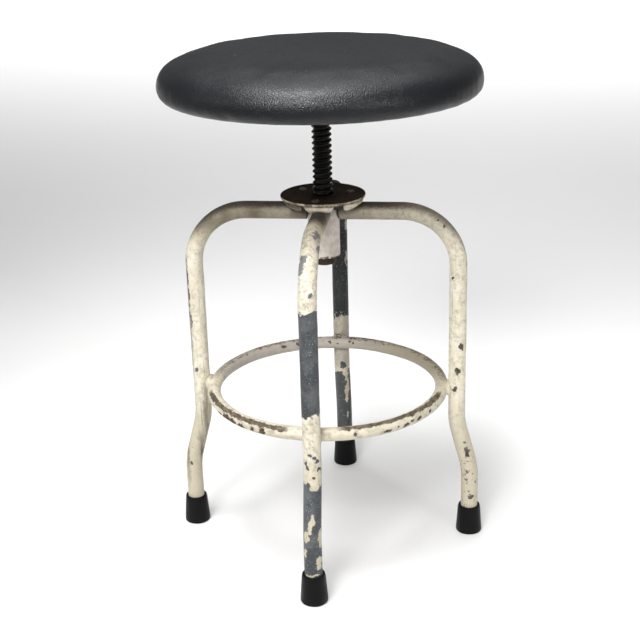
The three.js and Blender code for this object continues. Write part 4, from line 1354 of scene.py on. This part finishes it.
VINYL_BLACK = (0.0048, 0.0056, 0.0070)
VINYL_RUBBED = (0.0080, 0.0090, 0.0108)
VINYL_DUST = (0.10, 0.11, 0.12)
SPECK_GREY = (0.16, 0.17, 0.18)
SPECK_PLACE = (-0.083, -0.048, cover_high.z - 0.001)


def vinyl():
    skin = Finish("black_vinyl")
    color = skin.mottled((9, 4, 0.55), (0.35, 0.65), VINYL_BLACK, VINYL_RUBBED)
    dust = skin.between(skin.grain(240, 5, 0.7), 0.69, 0.74, 0, 0.35)
    color = skin.mix(dust, color, VINYL_DUST)
    mark = skin.vector("DISTANCE", skin.place, SPECK_PLACE)
    color = skin.mix(skin.between(mark, 0.0022, 0.0012, 0, 0.55), color, SPECK_GREY)
    pebble = skin.cells(820, "SMOOTH_F1")
    crease = skin.cells(430, "DISTANCE_TO_EDGE")
    fine = skin.bump(pebble, 0.00034, 1.0)
    lined = skin.bump(skin.between(crease, 0.0, 0.10), 0.00010, 0.6, fine)
    pull = skin.bump(skin.grain(16, 3, 0.5), 0.0016, 0.35, lined)
    rough = skin.between(skin.grain(40, 4, 0.6), 0.3, 0.7, 0.30, 0.39)
    return skin.done(Base_Color=color, Roughness=rough, Normal=pull, IOR=1.45)


def puff(points, faces):
    """Blows the cover up a little over its pad as cloth, and gives back the relaxed mesh."""
    mesh = bpy.data.meshes.new("cover_blank")
    mesh.from_pydata([tuple(point) for point in points], [], faces)
    blank = bpy.data.objects.new("cover_blank", mesh)
    scene.collection.objects.link(blank)
    bpy.context.view_layer.objects.active = blank
    blank.select_set(True)
    remesh = blank.modifiers.new("even", "REMESH")
    remesh.mode = "VOXEL"
    remesh.voxel_size = 0.005
    bpy.ops.object.modifier_apply(modifier="even")
    rest = [vertex.co.copy() for vertex in blank.data.vertices]
    held = blank.vertex_groups.new(name="held")
    for vertex in blank.data.vertices:
        if vertex.co.z < cover_low.z + 0.0055:
            held.add([vertex.index], 1.0, "REPLACE")
    cloth = blank.modifiers.new("cloth", "CLOTH")
    cloth.settings.quality = 6
    cloth.settings.mass = 0.4
    cloth.settings.tension_stiffness = 30
    cloth.settings.compression_stiffness = 30
    cloth.settings.bending_stiffness = 15
    cloth.settings.use_pressure = True
    cloth.settings.uniform_pressure_force = 4
    cloth.settings.vertex_group_mass = "held"
    cloth.settings.effector_weights.gravity = 0
    scene.frame_start = 1
    scene.frame_end = SIM_FRAMES
    for number in range(1, SIM_FRAMES + 1):
        scene.frame_set(number)
    bpy.ops.object.modifier_apply(modifier="cloth")
    scene.frame_set(1)
    for vertex, start in zip(blank.data.vertices, rest):
        shift = vertex.co - start
        if shift.length > SIM_CAP:
            vertex.co = start + shift.normalized() * SIM_CAP
    calm = blank.modifiers.new("calm", "SMOOTH")
    calm.factor = 0.5
    calm.iterations = 12
    bpy.ops.object.modifier_apply(modifier="calm")
    bpy.ops.object.select_all(action="DESELECT")
    relaxed = blank.data
    bpy.data.objects.remove(blank)
    return relaxed


def pleat(co, angle):
    """Small gathers in the turned-under edge, deepest where the vinyl is pulled round the board."""
    low = 1 - min(1.0, max(0.0, (co.z - cover_low.z) / 0.011))
    reach = math.hypot(co.x, co.y)
    outer = min(1.0, max(0.0, (reach - HEM_RADIUS) / 0.020))
    folds = math.sin(angle * 46 + 2.2 * math.sin(angle * 5)) * 0.6
    folds += noise.noise(Vector((angle * 9, 1, 2)))
    return folds * low * outer


def seat_cover():
    mesh = puff(*turned(seat_profile(0, slack=SIM_CAP), 120))
    for vertex in mesh.vertices:
        co = vertex.co
        reach = math.hypot(co.x, co.y)
        angle = math.atan2(co.y, co.x)
        gather = pleat(co, angle) * 0.00045
        out = Vector((co.x, co.y, 0)).normalized()
        co += out * gather
        co.z -= abs(gather) * 0.4 if reach < SEAT_RADIUS - 0.008 else 0
        # One small pucker low on the front, where a pleat was drawn up too far.
        pucker = (co - Vector((-0.072, -0.158, cover_low.z + 0.006))).length
        if pucker < 0.010:
            co += Vector((0.3, 0.9, 0.3)) * 0.0016 * (1 - pucker / 0.010) ** 2
    # The cover is open inside its hem, where the board shows.
    bm = bmesh.new()
    bm.from_mesh(mesh)
    inside = [
        face
        for face in bm.faces
        if face.calc_center_median().z < cover_low.z + 0.004
        and face.calc_center_median().xy.length < HEM_RADIUS
    ]
    bmesh.ops.delete(bm, geom=inside, context="FACES")
    for vertex in bm.verts:
        if any(edge.is_boundary for edge in vertex.link_edges):
            angle = math.atan2(vertex.co.y, vertex.co.x)
            reach = HEM_RADIUS + 0.0012 * noise.noise(Vector((angle * 4, 3, 1)))
            vertex.co = polar(reach, angle, vertex.co.z)
    bm.to_mesh(mesh)
    bm.free()
    mesh.materials.append(vinyl())
    cover = bpy.data.objects.new("seat_cover_vinyl", mesh)
    scene.collection.objects.link(cover)
    bpy.context.view_layer.objects.active = cover
    thick = cover.modifiers.new("thick", "SOLIDIFY")
    thick.thickness = COVER_SKIN
    thick.offset = -1
    smooth = cover.modifiers.new("smooth", "SUBSURF")
    smooth.levels = 1
    smooth.render_levels = 1
    bpy.ops.object.modifier_apply(modifier="thick")
    bpy.ops.object.modifier_apply(modifier="smooth")
    cover.data.shade_smooth()
    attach(cover, "seat")
    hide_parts("seat_cover")


seat_cover()


FOAM_TAN = (0.70, 0.60, 0.34)
FOAM_CREAM = (0.78, 0.70, 0.46)


def foam():
    cream = Finish("pad_foam")
    color = cream.mottled((120, 4, 0.6), (0.35, 0.65), FOAM_TAN, FOAM_CREAM)
    normal = cream.bump(cream.cells(900), 0.0005, 0.7)
    return cream.done(Base_Color=color, Roughness=0.95, Normal=normal)


foam_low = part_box("seat_foam")[0]
foam_rows = [point for point in seat_profile(COVER_SKIN + 0.0026, 16, 4) if point[1] > foam_low.z]
pad_outline = [(0, foam_low.z), (0.09, foam_low.z), (foam_rows[0][0], foam_low.z), *foam_rows]
points, faces = turned(pad_outline, 96)
pad = piece("seat_pad_foam", points, faces, foam(), "seat", ["seat_foam"])


# ---- Hem staples ----
# Thin staples of zinced wire, driven close together round the hem. They hold the vinyl's turned-under
# edge to the board.
STAPLE_COUNT = 48
STAPLE_WIDTH = 0.010
STAPLE_WIRE = 0.0007
points, faces = [], []
rng = random.Random(11)
for number in range(STAPLE_COUNT):
    angle = 2 * math.pi * number / STAPLE_COUNT + rng.uniform(-0.02, 0.02)
    tilt = rng.uniform(-0.35, 0.35)
    radius = HEM_RADIUS + 0.009 + rng.uniform(-0.002, 0.002)
    centre = polar(radius, angle, cover_low.z - 0.0002)
    along = Vector((-math.sin(angle + tilt), math.cos(angle + tilt), 0)) * STAPLE_WIDTH / 2
    across = polar(1, angle + tilt, 0) * STAPLE_WIRE / 2
    for end, sink in ((-1, 0.0012), (-0.86, -STAPLE_WIRE / 2), (0.86, -STAPLE_WIRE / 2), (1, 0.0012)):
        for corner_across, corner_up in ((-1, -1), (1, -1), (1, 1), (-1, 1)):
            up = Vector((0, 0, sink + corner_up * STAPLE_WIRE / 2))
            points.append(centre + along * end + across * corner_across + up)
    first = len(points) - 16
    for section in range(3):
        for corner in range(4):
            after = (corner + 1) % 4
            low = first + section * 4
            faces.append((low + corner, low + after, low + 4 + after, low + 4 + corner))
    faces.append((first + 3, first + 2, first + 1, first))
    faces.append((first + 12, first + 13, first + 14, first + 15))
piece("hem_staples", points, faces, zinc_finish, "seat")
